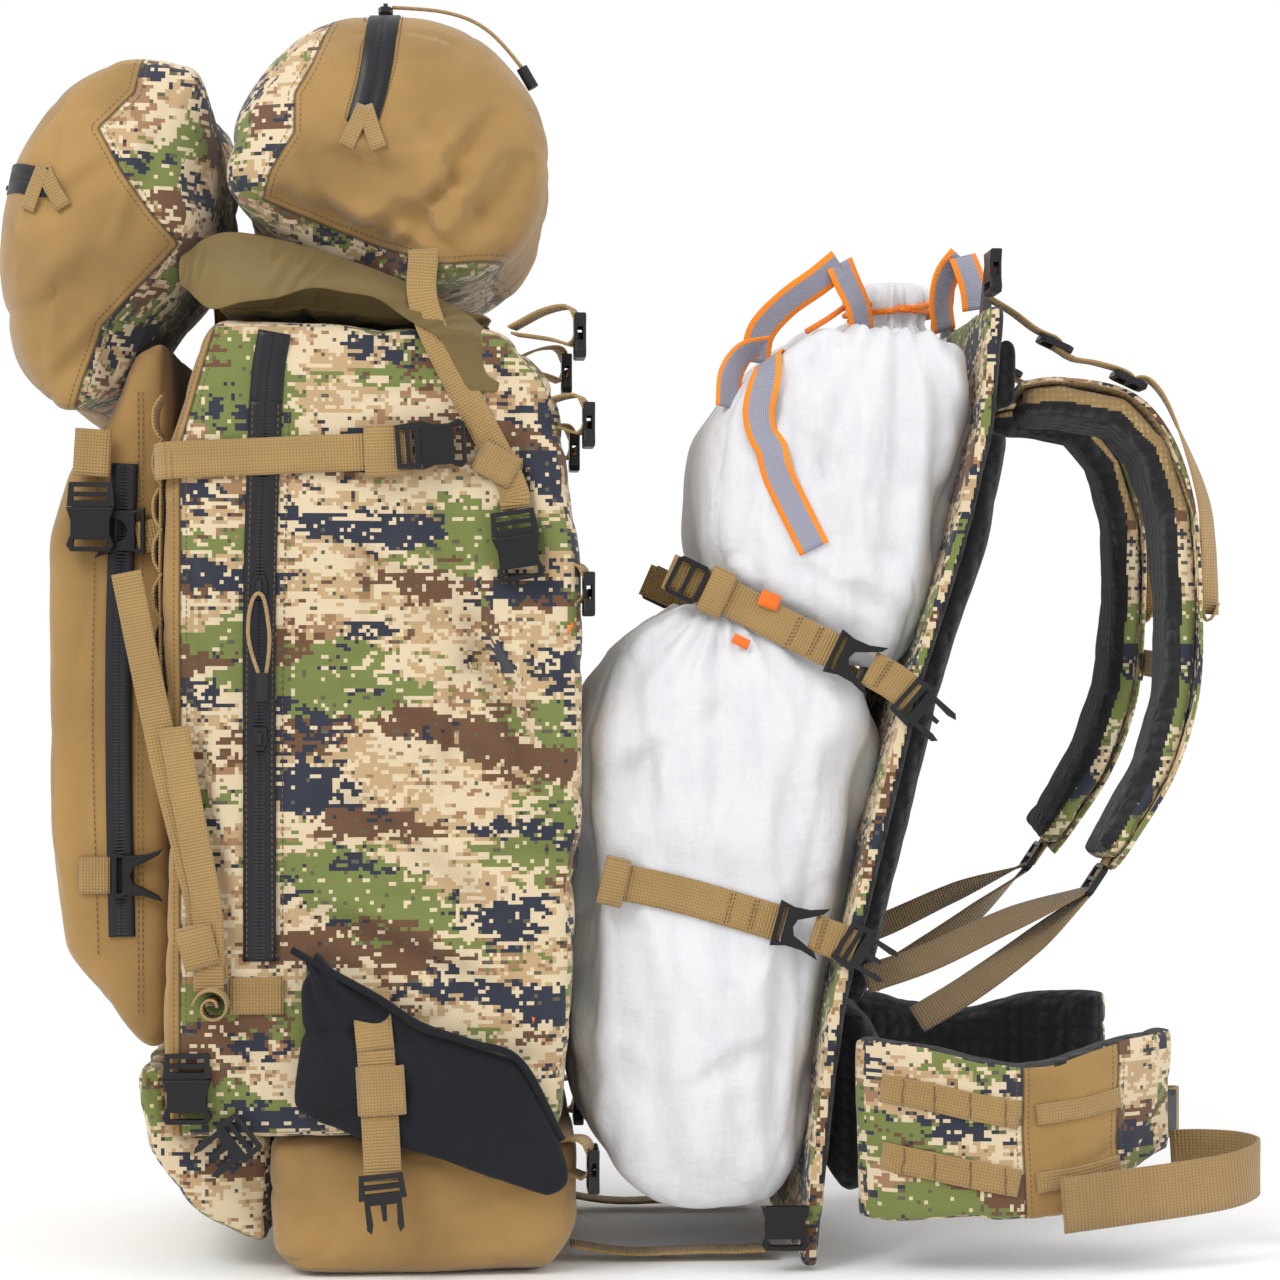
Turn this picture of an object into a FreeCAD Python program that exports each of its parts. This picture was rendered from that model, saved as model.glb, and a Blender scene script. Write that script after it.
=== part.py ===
import FreeCAD, Part
"""Internal-frame hunting pack with a game bag carried between the bag and the frame.

Axes, in millimetres: +X points the way the wearer faces, +Y to the wearer's left and +Z up.
The origin is the middle of the pack's outline on the ground. Near is the wearer's right, at -Y.
"""
import math
import os

import Sketcher

NEAR = "near"
FAR = "far"

# Driving dimensions, each with its name in the spreadsheet, its value and its meaning.
DIMENSIONS = (
    # Webbing and hardware
    ("web_wide", 25.0, "compression webbing width"),
    ("web_thick", 1.8, "webbing thickness"),
    ("belt_web_wide", 38.0, "waist webbing width"),
    ("narrow_web_wide", 20.0, "shoulder webbing width"),
    ("lay_gap", 0.6, "clearance between layers that lie on each other"),
    ("buckle_wide", 33.0, "side-release buckle width"),
    ("buckle_thick", 8.0, "side-release buckle thickness"),
    ("socket_long", 30.0, "side-release buckle socket length"),
    ("plug_base_long", 17.0, "length of the plug's webbing bars"),
    ("prong_long", 22.0, "length of the plug's prongs"),
    ("bar_thick", 3.2, "web bar section"),
    ("hook_long", 34.0, "split-bar hook length"),
    ("hook_wide", 36.0, "split-bar hook width"),
    ("lock_long", 24.0, "ladder lock length"),
    ("lock_thick", 4.6, "ladder lock thickness"),
    ("tape_thick", 1.2, "zip tape thickness"),
    ("tape_wide", 22.0, "zip tape width"),
    ("slider_long", 15.0, "zip slider length"),
    ("slider_wide", 10.0, "zip slider width"),
    ("slider_thick", 4.4, "zip slider thickness"),
    ("cord_thick", 2.6, "zip pull cord diameter"),
    # Main bag
    ("bag_half", 165.0, "half width of the main bag"),
    ("bag_front", -320.0, "front face of the main bag"),
    ("bag_rear", -40.0, "frame-side face of the main bag"),
    ("bag_top", 648.0, "top edge of the main bag"),
    ("boot_top", 95.0, "height of the boot panel"),
    ("bag_round", 40.0, "rounding of the bag's upright edges"),
    ("shell", 2.4, "sewn fabric and lining thickness"),
    ("pocket_half", 122.0, "half width of the front pocket"),
    ("pocket_deep", 83.0, "depth of the front pocket"),
    ("pocket_bulge", 20.0, "depth of a side stretch pocket"),
    # Lid
    ("lid_rise", 214.0, "height of the lid's top above the bag's top"),
    ("lid_reach", 32.0, "how far the lid stands ahead of the front pocket"),
    ("valley_rise", 91.0, "height of the crease between the lid's lobes above the bag's top"),
    ("valley_set", 30.0, "how far that crease stands behind the bag's front"),
    ("pivot_set", 45.0, "how far the lid's pivot stands ahead of the bag's frame side"),
    ("pivot_drop", 136.0, "depth of that pivot below the bag's top"),
    # Load and frame
    ("load_deep", 142.0, "depth of the load shelf at the ground"),
    ("load_spare", 8.0, "how far the frame panel reaches past the game bag at each side"),
    ("waist_z", 401.0, "height of the crease between the game bag's lobes, at the frame"),
    ("frame_half", 150.0, "half width of the frame panel"),
    ("frame_top", 660.0, "height of the frame panel"),
    ("frame_lean", 131.0, "how far the top of the frame stands ahead of its foot"),
    ("panel_thick", 12.0, "frame panel thickness"),
    ("stay_thick", 6.0, "frame stay section"),
    ("stay_wide", 14.0, "frame stay width"),
    ("stay_spread", 95.0, "frame stay distance from the centre"),
    ("pad_thick", 17.0, "back pad thickness"),
    ("pad_half", 112.0, "half width of the back pad"),
    ("lumbar_thick", 34.0, "lumbar pad thickness"),
    # Harness and belt
    ("strap_wide", 66.0, "shoulder strap width"),
    ("strap_thick", 19.0, "shoulder strap thickness"),
    ("strap_mid", 104.0, "distance of a shoulder strap from the centre"),
    ("yoke_half", 72.0, "half width of the yoke"),
    ("wing_spread", 26.0, "how far the belt wings reach past the frame panel at each side"),
    ("wing_low", 34.0, "lower edge of the belt wings"),
    ("wing_tall", 128.0, "height of the belt wings"),
    ("wing_thick", 19.0, "belt wing thickness"),
    ("wing_long", 270.0, "distance from the frame's foot to the front of the belt wings"),
)


class Size:
    """A length that knows its number and the spreadsheet expression that gives it."""

    def __init__(self, number, text):
        self.number = float(number)
        self.text = text

    @staticmethod
    def of(value):
        return value if isinstance(value, Size) else Size(value, repr(float(value)))

    def _join(self, other, sign, number):
        return Size(number, f"({self.text} {sign} {Size.of(other).text})")

    def __add__(self, other):
        return self._join(other, "+", self.number + Size.of(other).number)

    def __sub__(self, other):
        return self._join(other, "-", self.number - Size.of(other).number)

    def __mul__(self, other):
        return self._join(other, "*", self.number * Size.of(other).number)

    def __truediv__(self, other):
        return self._join(other, "/", self.number / Size.of(other).number)

    def __radd__(self, other):
        return Size.of(other) + self

    def __rsub__(self, other):
        return Size.of(other) - self

    def __rmul__(self, other):
        return Size.of(other) * self

    def __neg__(self):
        return Size(-self.number, f"(0 - {self.text})")


class Dimensions:
    """The spreadsheet's values by name, as sizes that expressions can use."""

    def __init__(self, document):
        sheet = document.addObject("Spreadsheet::Sheet", "Sizes")
        for row, (alias, number, meaning) in enumerate(DIMENSIONS, 1):
            sheet.set(f"A{row}", meaning)
            sheet.set(f"B{row}", repr(number))
            sheet.setAlias(f"B{row}", alias)
            setattr(self, alias, Size(number, f"Sizes.{alias}"))


doc = FreeCAD.newDocument("hunting_pack")
dim = Dimensions(doc)

# Places that follow from the driving dimensions
dim.pocket_front = dim.bag_front - dim.pocket_deep
dim.lid_half = dim.bag_half + 1
dim.lid_top = dim.bag_top + dim.lid_rise
dim.lid_front = dim.pocket_front - dim.lid_reach
dim.lid_back = dim.bag_rear - 19
dim.valley_x = dim.bag_front + dim.valley_set
dim.valley_z = dim.bag_top + dim.valley_rise
dim.pivot_x = dim.bag_rear - dim.pivot_set
dim.pivot_z = dim.bag_top - dim.pivot_drop
dim.load_half = dim.frame_half - dim.load_spare
dim.frame_foot = dim.bag_rear + dim.load_deep
dim.waist_x = dim.frame_foot + dim.frame_lean * 0.61 - 4.9
dim.brow_x = dim.waist_x + dim.frame_lean * 0.42
dim.wing_out = dim.frame_half + dim.wing_spread
dim.wing_tip = dim.frame_foot + dim.wing_long

doc.recompute()
nodes = []
placed = {}


def vector(x, y, z):
    return FreeCAD.Vector(*(Size.of(value).number for value in (x, y, z)))


def bind(target, prop, size):
    target.setExpression(prop, Size.of(size).text)


def node(feature, label):
    """Names a finished sub-part and lists it for export."""
    feature.Label = label
    nodes.append(feature)
    return feature


# Sketches and solids -------------------------------------------------------------------------


def draw(sketch, points):
    """A closed outline through the points, each vertex held by expressions."""
    spots = [(Size.of(a), Size.of(b)) for a, b in points]
    for (a, b), (c, d) in zip(spots, spots[1:] + spots[:1]):
        sketch.addGeometry(Part.LineSegment(vector(a, b, 0), vector(c, d, 0)), False)
    for i in range(len(spots)):
        following = (i + 1) % len(spots)
        sketch.addConstraint(Sketcher.Constraint("Coincident", i, 2, following, 1))
    for i, spot in enumerate(spots):
        for kind, size in zip(("DistanceX", "DistanceY"), spot):
            held = Sketcher.Constraint(kind, -1, 1, i, 1, size.number)
            bind(sketch, f"Constraints[{sketch.addConstraint(held)}]", size)


def sketch_in(body, role, points):
    """A closed outline on one of a body's own origin planes."""
    sketch = body.newObject("Sketcher::SketchObject", "Outline")
    plane = next(f for f in body.Origin.OriginFeatures if f.Role == role)
    sketch.AttachmentSupport = [(plane, "")]
    sketch.MapMode = "FlatFace"
    draw(sketch, points)
    return sketch


def pad(body, role, points, length):
    feature = body.newObject("PartDesign::Pad", "Pad")
    feature.Profile = sketch_in(body, role, points)
    feature.Midplane = True
    bind(feature, "Length", length)
    doc.recompute()
    return feature


def pocket(body, role, points, length):
    """A cut through both sides of the sketch plane."""
    feature = body.newObject("PartDesign::Pocket", "Pocket")
    feature.Profile = sketch_in(body, role, points)
    feature.Midplane = True
    bind(feature, "Length", length)
    doc.recompute()
    return feature


def fillet(body, base, chosen, radius):
    names = [f"Edge{i}" for i, edge in enumerate(base.Shape.Edges, 1) if chosen(edge)]
    feature = body.newObject("PartDesign::Fillet", "Fillet")
    feature.Base = (base, names)
    bind(feature, "Radius", radius)
    doc.recompute()
    return feature


def along(axis):
    """Chooses the straight edges that run along an axis."""

    def chosen(edge):
        direction = edge.tangentAt(edge.FirstParameter)
        return abs(getattr(direction, axis)) > 0.99 and isinstance(edge.Curve, Part.Line)

    return chosen


def rim(axis):
    """Chooses the edges that lie in a plane square to an axis."""

    def chosen(edge):
        box = edge.BoundBox
        return getattr(box, axis.upper() + "Length") < 1e-4

    return chosen


def soft(label, points, width, corner, edge=None, hollow=None):
    """A soft piece: its side outline padded across the pack, rounded, and hollow if asked."""
    body = doc.addObject("PartDesign::Body", label)
    last = pad(body, "XZ_Plane", points, width)
    last = fillet(body, last, along("y"), corner)
    if edge is not None:
        last = fillet(body, last, rim("y"), edge)
    if hollow is not None:
        pocket(body, "XZ_Plane", hollow, width - 2 * dim.shell - 2)
    return node(body, label)


def shift(points, x=0.0, z=0.0):
    return [(a + x, b + z) for a, b in points]


def beside(points, thick):
    """The other edge of a flat band, at its right, from its end back to its start."""
    spots = [(Size.of(a), Size.of(b)) for a, b in points]
    normals = []
    for (a, b), (c, d) in zip(spots, spots[1:]):
        run, rise = (c - a).number, (d - b).number
        long = math.hypot(run, rise)
        normals.append((rise / long, -run / long))
    edge = []
    for (a, b), m, n in zip(spots, normals[:1] + normals, normals + normals[-1:]):
        share = 1 + m[0] * n[0] + m[1] * n[1]
        edge.append((a + thick * ((m[0] + n[0]) / share), b + thick * ((m[1] + n[1]) / share)))
    return edge[::-1]


def ribbon(points, thick, wide, across, plane="XZ", name="Ribbon"):
    """A flat band: an open path, thickened to its right and drawn out across its plane.

    In XZ the band is as wide as wide along Y, centred on across. In XY it stands up along Z
    from across.
    """
    path = doc.addObject("Sketcher::SketchObject", name + "Path")
    if plane == "XZ":
        upright = FreeCAD.Rotation(FreeCAD.Vector(1, 0, 0), 90)
        path.Placement = FreeCAD.Placement(FreeCAD.Vector(), upright)
    draw(path, points + beside(points, thick))
    solid = doc.addObject("Part::Extrusion", name)
    solid.Base = path
    solid.DirMode = "Custom"
    solid.Solid = True
    bind(solid, "LengthFwd", wide)
    if plane == "XZ":
        solid.Dir = FreeCAD.Vector(0, -1, 0)
        bind(solid, "Placement.Base.y", Size.of(across) + Size.of(wide) / 2)
    else:
        solid.Dir = FreeCAD.Vector(0, 0, 1)
        bind(solid, "Placement.Base.z", across)
    return solid


def side_band(points, wide, face, thick=None):
    """Webbing or tape that lies flat on the near side, just outside the plane at -Y of face.

    Its path runs upwards or towards +X, through the middle of its width.
    """
    thick = dim.web_thick if thick is None else thick
    rise = abs(Size.of(points[-1][1]).number - Size.of(points[0][1]).number)
    run = abs(Size.of(points[-1][0]).number - Size.of(points[0][0]).number)
    half = Size.of(wide) / 2
    edge = shift(points, x=-half) if rise > run else shift(points, z=half)
    return ribbon(edge, wide, thick, -(Size.of(face) + thick / 2))


def mirrored(feature):
    """The far-side twin of a near piece; hardware is placed again, because it is symmetric."""
    if feature.Name in placed:
        master, x, y, z, forward, outward = placed[feature.Name]
        flip = [(v[0], -v[1], v[2]) for v in (forward, outward)]
        return put(master, x, -Size.of(y), z, *flip)
    twin = doc.addObject("Part::Mirroring", "Mirrored")
    twin.Source = feature
    twin.Normal = FreeCAD.Vector(0, 1, 0)
    return twin


def group(label, pieces):
    feature = doc.addObject("Part::Compound", label)
    feature.Links = pieces
    return node(feature, label)


def pair(label, pieces):
    """Near pieces and their far twins as one sub-part of separate solids."""
    return group(label, pieces + [mirrored(piece) for piece in pieces])


def sides(label, pieces):
    """Near pieces and their far twins as two sub-parts."""
    near = group(f"{label}_{NEAR}", pieces)
    far = group(f"{label}_{FAR}", [mirrored(piece) for piece in pieces])
    return near, far


# Hardware, each drawn flat: its length along X, its width along Y, its thickness about Z = 0 ---


def plate(label, outline, thick, cuts, corner):
    """A moulded plate with slots cut through it."""
    body = doc.addObject("PartDesign::Body", label)
    last = pad(body, "XY_Plane", outline, thick)
    for cut in cuts:
        last = pocket(body, "XY_Plane", cut, Size.of(thick) * 3)
    fillet(body, last, rim("z"), corner)
    return body


def box(x0, x1, half):
    return [(x0, -half), (x1, -half), (x1, half), (x0, half)]


def make_socket():
    """Side-release socket: mouth at X = 0, web bar at the far end."""
    half = dim.buckle_wide / 2
    long = dim.socket_long
    waist = half - 3.0
    outline = [
        (Size.of(0), -half),
        (long * 0.30, -waist),
        (long * 0.62, -waist),
        (long * 0.86, -half),
        (long, -half + 3.0),
        (long, half - 3.0),
        (long * 0.86, half),
        (long * 0.62, waist),
        (long * 0.30, waist),
        (Size.of(0), half),
    ]
    body = doc.addObject("PartDesign::Body", "Socket")
    last = pad(body, "XY_Plane", outline, dim.buckle_thick)
    last = fillet(body, last, rim("z"), 1.4)
    slot = box(long - dim.bar_thick - 5.0, long - dim.bar_thick, half - 5.0)
    pocket(body, "XY_Plane", slot, dim.buckle_thick * 2)
    mouth = box(Size.of(-1), dim.prong_long + 1.0, half - 3.6 + 0.0)
    pocket(body, "XY_Plane", mouth, dim.buckle_thick - 3.0)
    for side in (-1, 1):
        window = [
            (long * 0.30, side * (half + 1.0)),
            (long * 0.60, side * (half + 1.0)),
            (long * 0.60, side * (half - 5.0)),
            (long * 0.30, side * (half - 5.0)),
        ]
        pocket(body, "XY_Plane", window, dim.buckle_thick * 0.45)
    return body


def make_plug():
    """Side-release plug: shoulder at X = 0, prongs along +X, ladder bars along -X."""
    half = dim.buckle_wide / 2
    inside = half - 3.6 - 0.5
    base = dim.plug_base_long
    thick = dim.buckle_thick - 3.0 - 1.2
    tip = dim.prong_long
    outline = [
        (-base, -half + 2.0),
        (Size.of(-0.6), -half + 0.5),
        (Size.of(-0.6), -inside),
        (tip - 3.0, -inside),
        (tip, -inside + 3.0),
        (tip - 6.0, -inside + 4.4),
        (Size.of(3), -inside + 3.4),
        (Size.of(3), Size.of(-2)),
        (tip - 8.0, Size.of(-1.4)),
        (tip - 8.0, Size.of(1.4)),
        (Size.of(3), Size.of(2)),
        (Size.of(3), inside - 3.4),
        (tip - 6.0, inside - 4.4),
        (tip, inside - 3.0),
        (tip - 3.0, inside),
        (Size.of(-0.6), inside),
        (Size.of(-0.6), half - 0.5),
        (-base, half - 2.0),
    ]
    slots = [
        box(-base + dim.bar_thick, -base + dim.bar_thick + 3.4, half - 5.0),
        box(-base + 2 * dim.bar_thick + 3.4, -base + 2 * dim.bar_thick + 6.0, half - 5.0),
    ]
    body = doc.addObject("PartDesign::Body", "Plug")
    last = pad(body, "XY_Plane", outline, thick)
    for slot in slots:
        last = pocket(body, "XY_Plane", slot, thick * 3)
    return body


def make_hook():
    """Split-bar hook: web bar at the back, two flared arms along +X."""
    half = dim.hook_wide / 2
    long = dim.hook_long
    outline = [
        (Size.of(0), -half + 2.0),
        (long * 0.30, -half + 4.5),
        (long * 0.62, -half + 4.0),
        (long, -half),
        (long * 0.90, -half + 4.6),
        (long * 0.62, -half + 9.5),
        (long * 0.42, -half + 12.5),
        (long * 0.36, Size.of(0)),
        (long * 0.42, half - 12.5),
        (long * 0.62, half - 9.5),
        (long * 0.90, half - 4.6),
        (long, half),
        (long * 0.62, half - 4.0),
        (long * 0.30, half - 4.5),
        (Size.of(0), half - 2.0),
    ]
    slot = box(dim.bar_thick, dim.bar_thick + 3.4, half - 6.0)
    return plate("Hook", outline, dim.lock_thick, [slot], 0.9)


def make_lock():
    """Ladder lock: three bars and two slots."""
    half = dim.narrow_web_wide / 2 + 4.0
    long = dim.lock_long
    clip = long * 0.12
    outline = [
        (Size.of(0), -half + 3.0),
        (clip, -half),
        (long - clip, -half),
        (long, -half + 3.0),
        (long, half - 3.0),
        (long - clip, half),
        (clip, half),
        (Size.of(0), half - 3.0),
    ]
    slot = (long - 3 * dim.bar_thick) / 2
    cuts = [
        box(dim.bar_thick, dim.bar_thick + slot, half - 3.4),
        box(2 * dim.bar_thick + slot, 2 * dim.bar_thick + 2 * slot, half - 3.4),
    ]
    return plate("Lock", outline, dim.lock_thick, cuts, 0.7)


def make_slider():
    """Zip slider: body centred at the origin, with an eye for the pull on its outer face."""
    long = dim.slider_long / 2
    half = dim.slider_wide / 2
    outline = [
        (-long, -half * 0.6),
        (-long * 0.3, -half),
        (long, -half),
        (long, half),
        (-long * 0.3, half),
        (-long, half * 0.6),
    ]
    body = plate("Slider", outline, dim.slider_thick, [], 0.8)
    top = dim.slider_thick / 2
    eye = [
        (-long * 0.7, top - 1.0),
        (-long * 0.5, top + 2.6),
        (long * 0.5, top + 2.6),
        (long * 0.7, top - 1.0),
    ]
    pad(body, "XZ_Plane", eye, dim.slider_wide * 0.3)
    hole = [
        (-long * 0.35, top + 0.2),
        (-long * 0.30, top + 1.6),
        (long * 0.30, top + 1.6),
        (long * 0.35, top + 0.2),
    ]
    pocket(body, "XZ_Plane", hole, dim.slider_wide)
    return body


SOCKET = make_socket()
PLUG = make_plug()
HOOK = make_hook()
LOCK = make_lock()
SLIDER = make_slider()


def turn(forward, outward):
    """The rotation that lays a piece's length along forward and its face along outward."""
    front = FreeCAD.Vector(*forward).normalize()
    face = FreeCAD.Vector(*outward).normalize()
    return FreeCAD.Rotation(front, face.cross(front), face, "XZY")


def put(master, x, y, z, forward, outward=(0, -1, 0)):
    """A copy of a piece of hardware, placed by its own origin."""
    link = doc.addObject("App::Link", master.Label + "Copy")
    link.LinkedObject = master
    link.Placement = FreeCAD.Placement(vector(x, y, z), turn(forward, outward))
    for axis, size in zip("xyz", (x, y, z)):
        bind(link, f"Placement.Base.{axis}", size)
    placed[link.Name] = master, x, y, z, forward, outward
    return link


def make_tape(long):
    """A flat zip tape, its length along X and its face up."""
    body = doc.addObject("PartDesign::Body", "Tape")
    pad(body, "XY_Plane", box(-long / 2, long / 2, dim.tape_wide / 2), dim.tape_thick)
    return body


def cord(label, points, thick):
    """A round cord along straight runs joined by tangent arcs."""
    spots = [vector(*point) for point in points]
    ends = [(spots[0], spots[0])]
    edges = []
    for before, here, after in zip(spots, spots[1:], spots[2:]):
        back, ahead = (before - here).normalize(), (after - here).normalize()
        reach = 0.45 * min((before - here).Length, (after - here).Length)
        start, end = here + back * reach, here + ahead * reach
        half_turn = (math.pi - back.getAngle(ahead)) / 2
        radius = reach / math.tan(half_turn)
        print(f"{label}: bend radius {radius:.1f} mm")
        middle = here + (back + ahead).normalize() * (radius / math.cos(half_turn) - radius)
        ends.append((start, end))
        edges.append(Part.LineSegment(ends[-2][1], start).toShape())
        edges.append(Part.Arc(start, middle, end).toShape())
    edges.append(Part.LineSegment(ends[-1][1], spots[-1]).toShape())
    path = Part.Wire(edges)
    ring = Part.Circle(spots[0], spots[1] - spots[0], Size.of(thick).number / 2)
    solid = path.makePipeShell([Part.Wire(ring.toShape())], True, True)
    print(f"{label}: length {path.Length:.1f} mm, volume ratio "
          f"{solid.Volume / (path.Length * math.pi * ring.Radius ** 2):.3f}")
    feature = doc.addObject("Part::Feature", label)
    feature.Shape = solid
    return feature


# Planes that lie on each other, counted out from the middle of the pack -------------------------

side = dim.bag_half + dim.lay_gap
over_tape = side + dim.tape_thick + dim.lay_gap
over_strap = over_tape + dim.web_thick + dim.lay_gap
side_slider = side + dim.tape_thick + 0.3 + dim.slider_thick / 2
pocket_side = dim.pocket_half + dim.lay_gap
pocket_slider = pocket_side + dim.tape_thick + 0.3 + dim.slider_thick / 2
pocket_hook = pocket_side + dim.tape_thick + dim.lay_gap + dim.lock_thick / 2
load_side = dim.load_half + dim.lay_gap

# Main bag -------------------------------------------------------------------------------------

inner = dim.shell
bag_outline = [
    (dim.bag_rear - 12, dim.boot_top + 1),
    (dim.bag_front, dim.boot_top + 1),
    (dim.bag_front, dim.bag_top - 90),
    (dim.bag_front + 30, dim.bag_top),
    (dim.bag_rear - 55, dim.bag_top - 8),
    (dim.bag_rear - 18, dim.bag_top - 45),
    (dim.bag_rear, dim.bag_top - 170),
    (dim.bag_rear, dim.boot_top + 230),
]
bag_hollow = [
    (dim.bag_rear - 17 - inner, dim.boot_top + 9),
    (dim.bag_front + 8, dim.boot_top + 9),
    (dim.bag_front + 8, dim.bag_top - 96),
    (dim.bag_front + 38, dim.bag_top - 10),
    (dim.bag_rear - 60, dim.bag_top - 18),
    (dim.bag_rear - 10, dim.bag_top - 180),
]
soft("main_bag", bag_outline, 2 * dim.bag_half, 6, dim.bag_round, bag_hollow)

boot_rear = dim.bag_rear - 2
boot_front = dim.bag_front + 70
boot_outline = [
    (boot_rear, dim.boot_top),
    (boot_rear, 28),
    (boot_rear - 20, 0),
    (boot_front + 20, 0),
    (boot_front, 12),
    (boot_front, dim.boot_top),
]
soft("boot", boot_outline, 2 * dim.bag_half - 6, 4, 24)

pouch_outline = [
    (boot_front - dim.lay_gap, dim.boot_top),
    (boot_front - dim.lay_gap, 14),
    (boot_front - 50, 38),
    (boot_front - 87, 82),
    (boot_front - 94, dim.boot_top + 46),
    (dim.bag_front - dim.lay_gap, dim.boot_top + 46),
    (dim.bag_front - dim.lay_gap, dim.boot_top),
]
soft("lower_pouch", pouch_outline, 2 * dim.pocket_half + 24, 3, 8)

pocket_foot = dim.boot_top + 55
pocket_head = dim.bag_top - 8
pocket_outline = [
    (dim.bag_front - dim.lay_gap, pocket_foot),
    (dim.bag_front - 20, pocket_foot),
    (dim.pocket_front + 12, pocket_foot + 68),
    (dim.pocket_front, pocket_foot + 150),
    (dim.pocket_front, pocket_head - 140),
    (dim.pocket_front + 15, pocket_head - 92),
    (dim.bag_front - 42, pocket_head - 58),
    (dim.bag_front - 26, pocket_head - 12),
    (dim.bag_front - dim.lay_gap, pocket_head),
]
soft("front_pocket", pocket_outline, 2 * dim.pocket_half, 5, 12)

collar_outline = [
    (dim.bag_front + 32, dim.bag_top + 3),
    (dim.bag_front + 32, dim.bag_top + 60),
    (dim.bag_front + 80, dim.bag_top + 52),
    (dim.bag_rear - 92, dim.bag_top + 12),
    (dim.bag_rear - 62, dim.bag_top + 7),
    (dim.bag_rear - 58, dim.bag_top - 3),
]
soft("collar", collar_outline, 2 * dim.bag_half - 60, 2.5)

stretch_outline = [
    (dim.bag_front + 97, dim.boot_top + 130),
    (dim.bag_front + 84, dim.boot_top + 20),
    (dim.bag_front + 166, dim.boot_top - 8),
    (dim.bag_rear - 22, dim.boot_top - 36),
    (dim.bag_rear - 8, dim.boot_top - 28),
    (dim.bag_rear - 14, dim.boot_top),
    (dim.bag_rear - 42, dim.boot_top + 56),
    (dim.bag_rear - 108, dim.boot_top + 78),
]
stretch = doc.addObject("PartDesign::Body", "Stretch")
stretch_pad = pad(stretch, "XZ_Plane", stretch_outline, dim.pocket_bulge)
fillet(stretch, stretch_pad, along("y"), 4)
bind(stretch, "Placement.Base.y", -(side + dim.pocket_bulge / 2))
pair("side_pockets", [stretch])

# Zips of the main bag and of the front pocket

zip_x = dim.bag_front + 64
side_tape = [(zip_x, dim.boot_top + 120), (zip_x, dim.bag_top - 58)]
pull_top = dim.bag_top - 182
for name, height, nose in (("upper", pull_top, -1), ("lower", pull_top - 102, 1)):
    sides(f"side_slider_{name}", [put(SLIDER, zip_x, -side_slider, height, (0, 0, nose))])

pull_face = -(side_slider + dim.slider_thick / 2 + 2 * dim.cord_thick)
pull_route = [
    (zip_x + 5, pull_face, pull_top - 58),
    (zip_x + 8, pull_face, pull_top - 40),
    (zip_x + 6, pull_face, pull_top - 20),
    (zip_x + 3, pull_face, pull_top - 5),
    (zip_x - 3, pull_face, pull_top - 5),
    (zip_x - 7, pull_face, pull_top - 20),
    (zip_x - 7, pull_face, pull_top - 40),
    (zip_x, pull_face, pull_top - 58),
]
side_pull = cord("SidePull", pull_route, dim.cord_thick)
group("side_pull_cord", [side_pull])
pull_end = doc.addObject("Part::Cylinder", "PullEnd")
bind(pull_end, "Radius", 4.2)
bind(pull_end, "Height", 18)
for axis, size in zip("xyz", (zip_x + 2.5, pull_face, pull_top - 76.2)):
    bind(pull_end, f"Placement.Base.{axis}", size)
group("side_pull_end", [pull_end])

front_zip_x = dim.bag_front - 32
front_tape = [(front_zip_x, pocket_foot + 78), (front_zip_x, pocket_head - 90)]
pair("zip_tapes", [
    side_band(side_tape, dim.tape_wide, side, dim.tape_thick),
    side_band(front_tape, 18, pocket_side, dim.tape_thick),
])
front_slider = put(SLIDER, front_zip_x, -pocket_slider, pocket_head - 185, (0, 0, 1))
sides("front_slider", [front_slider])

# Compression straps: webbing on the bag's sides, a plug at its end and a socket at the rear edge

strap_z = dim.bag_top - 94
buckle_x = dim.bag_rear - 108
compression = [(dim.bag_front + 2, strap_z - 4), (buckle_x - 12, strap_z + 3)]
foot_strap = [(dim.bag_front + 44, dim.boot_top + 97), (dim.bag_front + 80, dim.boot_top + 97)]
buckle_y = -(over_strap + dim.buckle_thick / 2)
tilt = (1, 0, 0.07)
pair("compression_sockets", [put(SOCKET, buckle_x, buckle_y, strap_z + 6, tilt)])
sides("compression_plug", [put(PLUG, buckle_x, buckle_y, strap_z + 6, tilt)])

# Front pocket hardware

hook_x = dim.bag_front - 16
low_hook_z = pocket_foot + 120
high_hook_z = pocket_head - 136
front_web = pocket_side + dim.tape_thick + dim.lay_gap
hook_strap = [(dim.pocket_front + 22, low_hook_z), (hook_x - 24, low_hook_z)]
pair("bag_webbing", [
    side_band(compression, dim.web_wide, over_tape),
    side_band(foot_strap, dim.web_wide, side),
    side_band(hook_strap, dim.web_wide, front_web),
])
hooks = [
    put(HOOK, hook_x, -pocket_hook, high_hook_z, (-1, 0, 0)),
    put(HOOK, hook_x - 22, -pocket_hook, low_hook_z, (1, 0, 0)),
]

lid_buckle_x = dim.bag_front - 52
lid_buckle_y = -(pocket_hook + dim.lock_thick / 2 + dim.lay_gap + dim.buckle_thick / 2)
lid_buckle_z = pocket_head - 120
down = (0, 0, -1)
pair("lid_front_sockets",
     [put(SOCKET, lid_buckle_x, lid_buckle_y, lid_buckle_z, down)])

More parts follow.
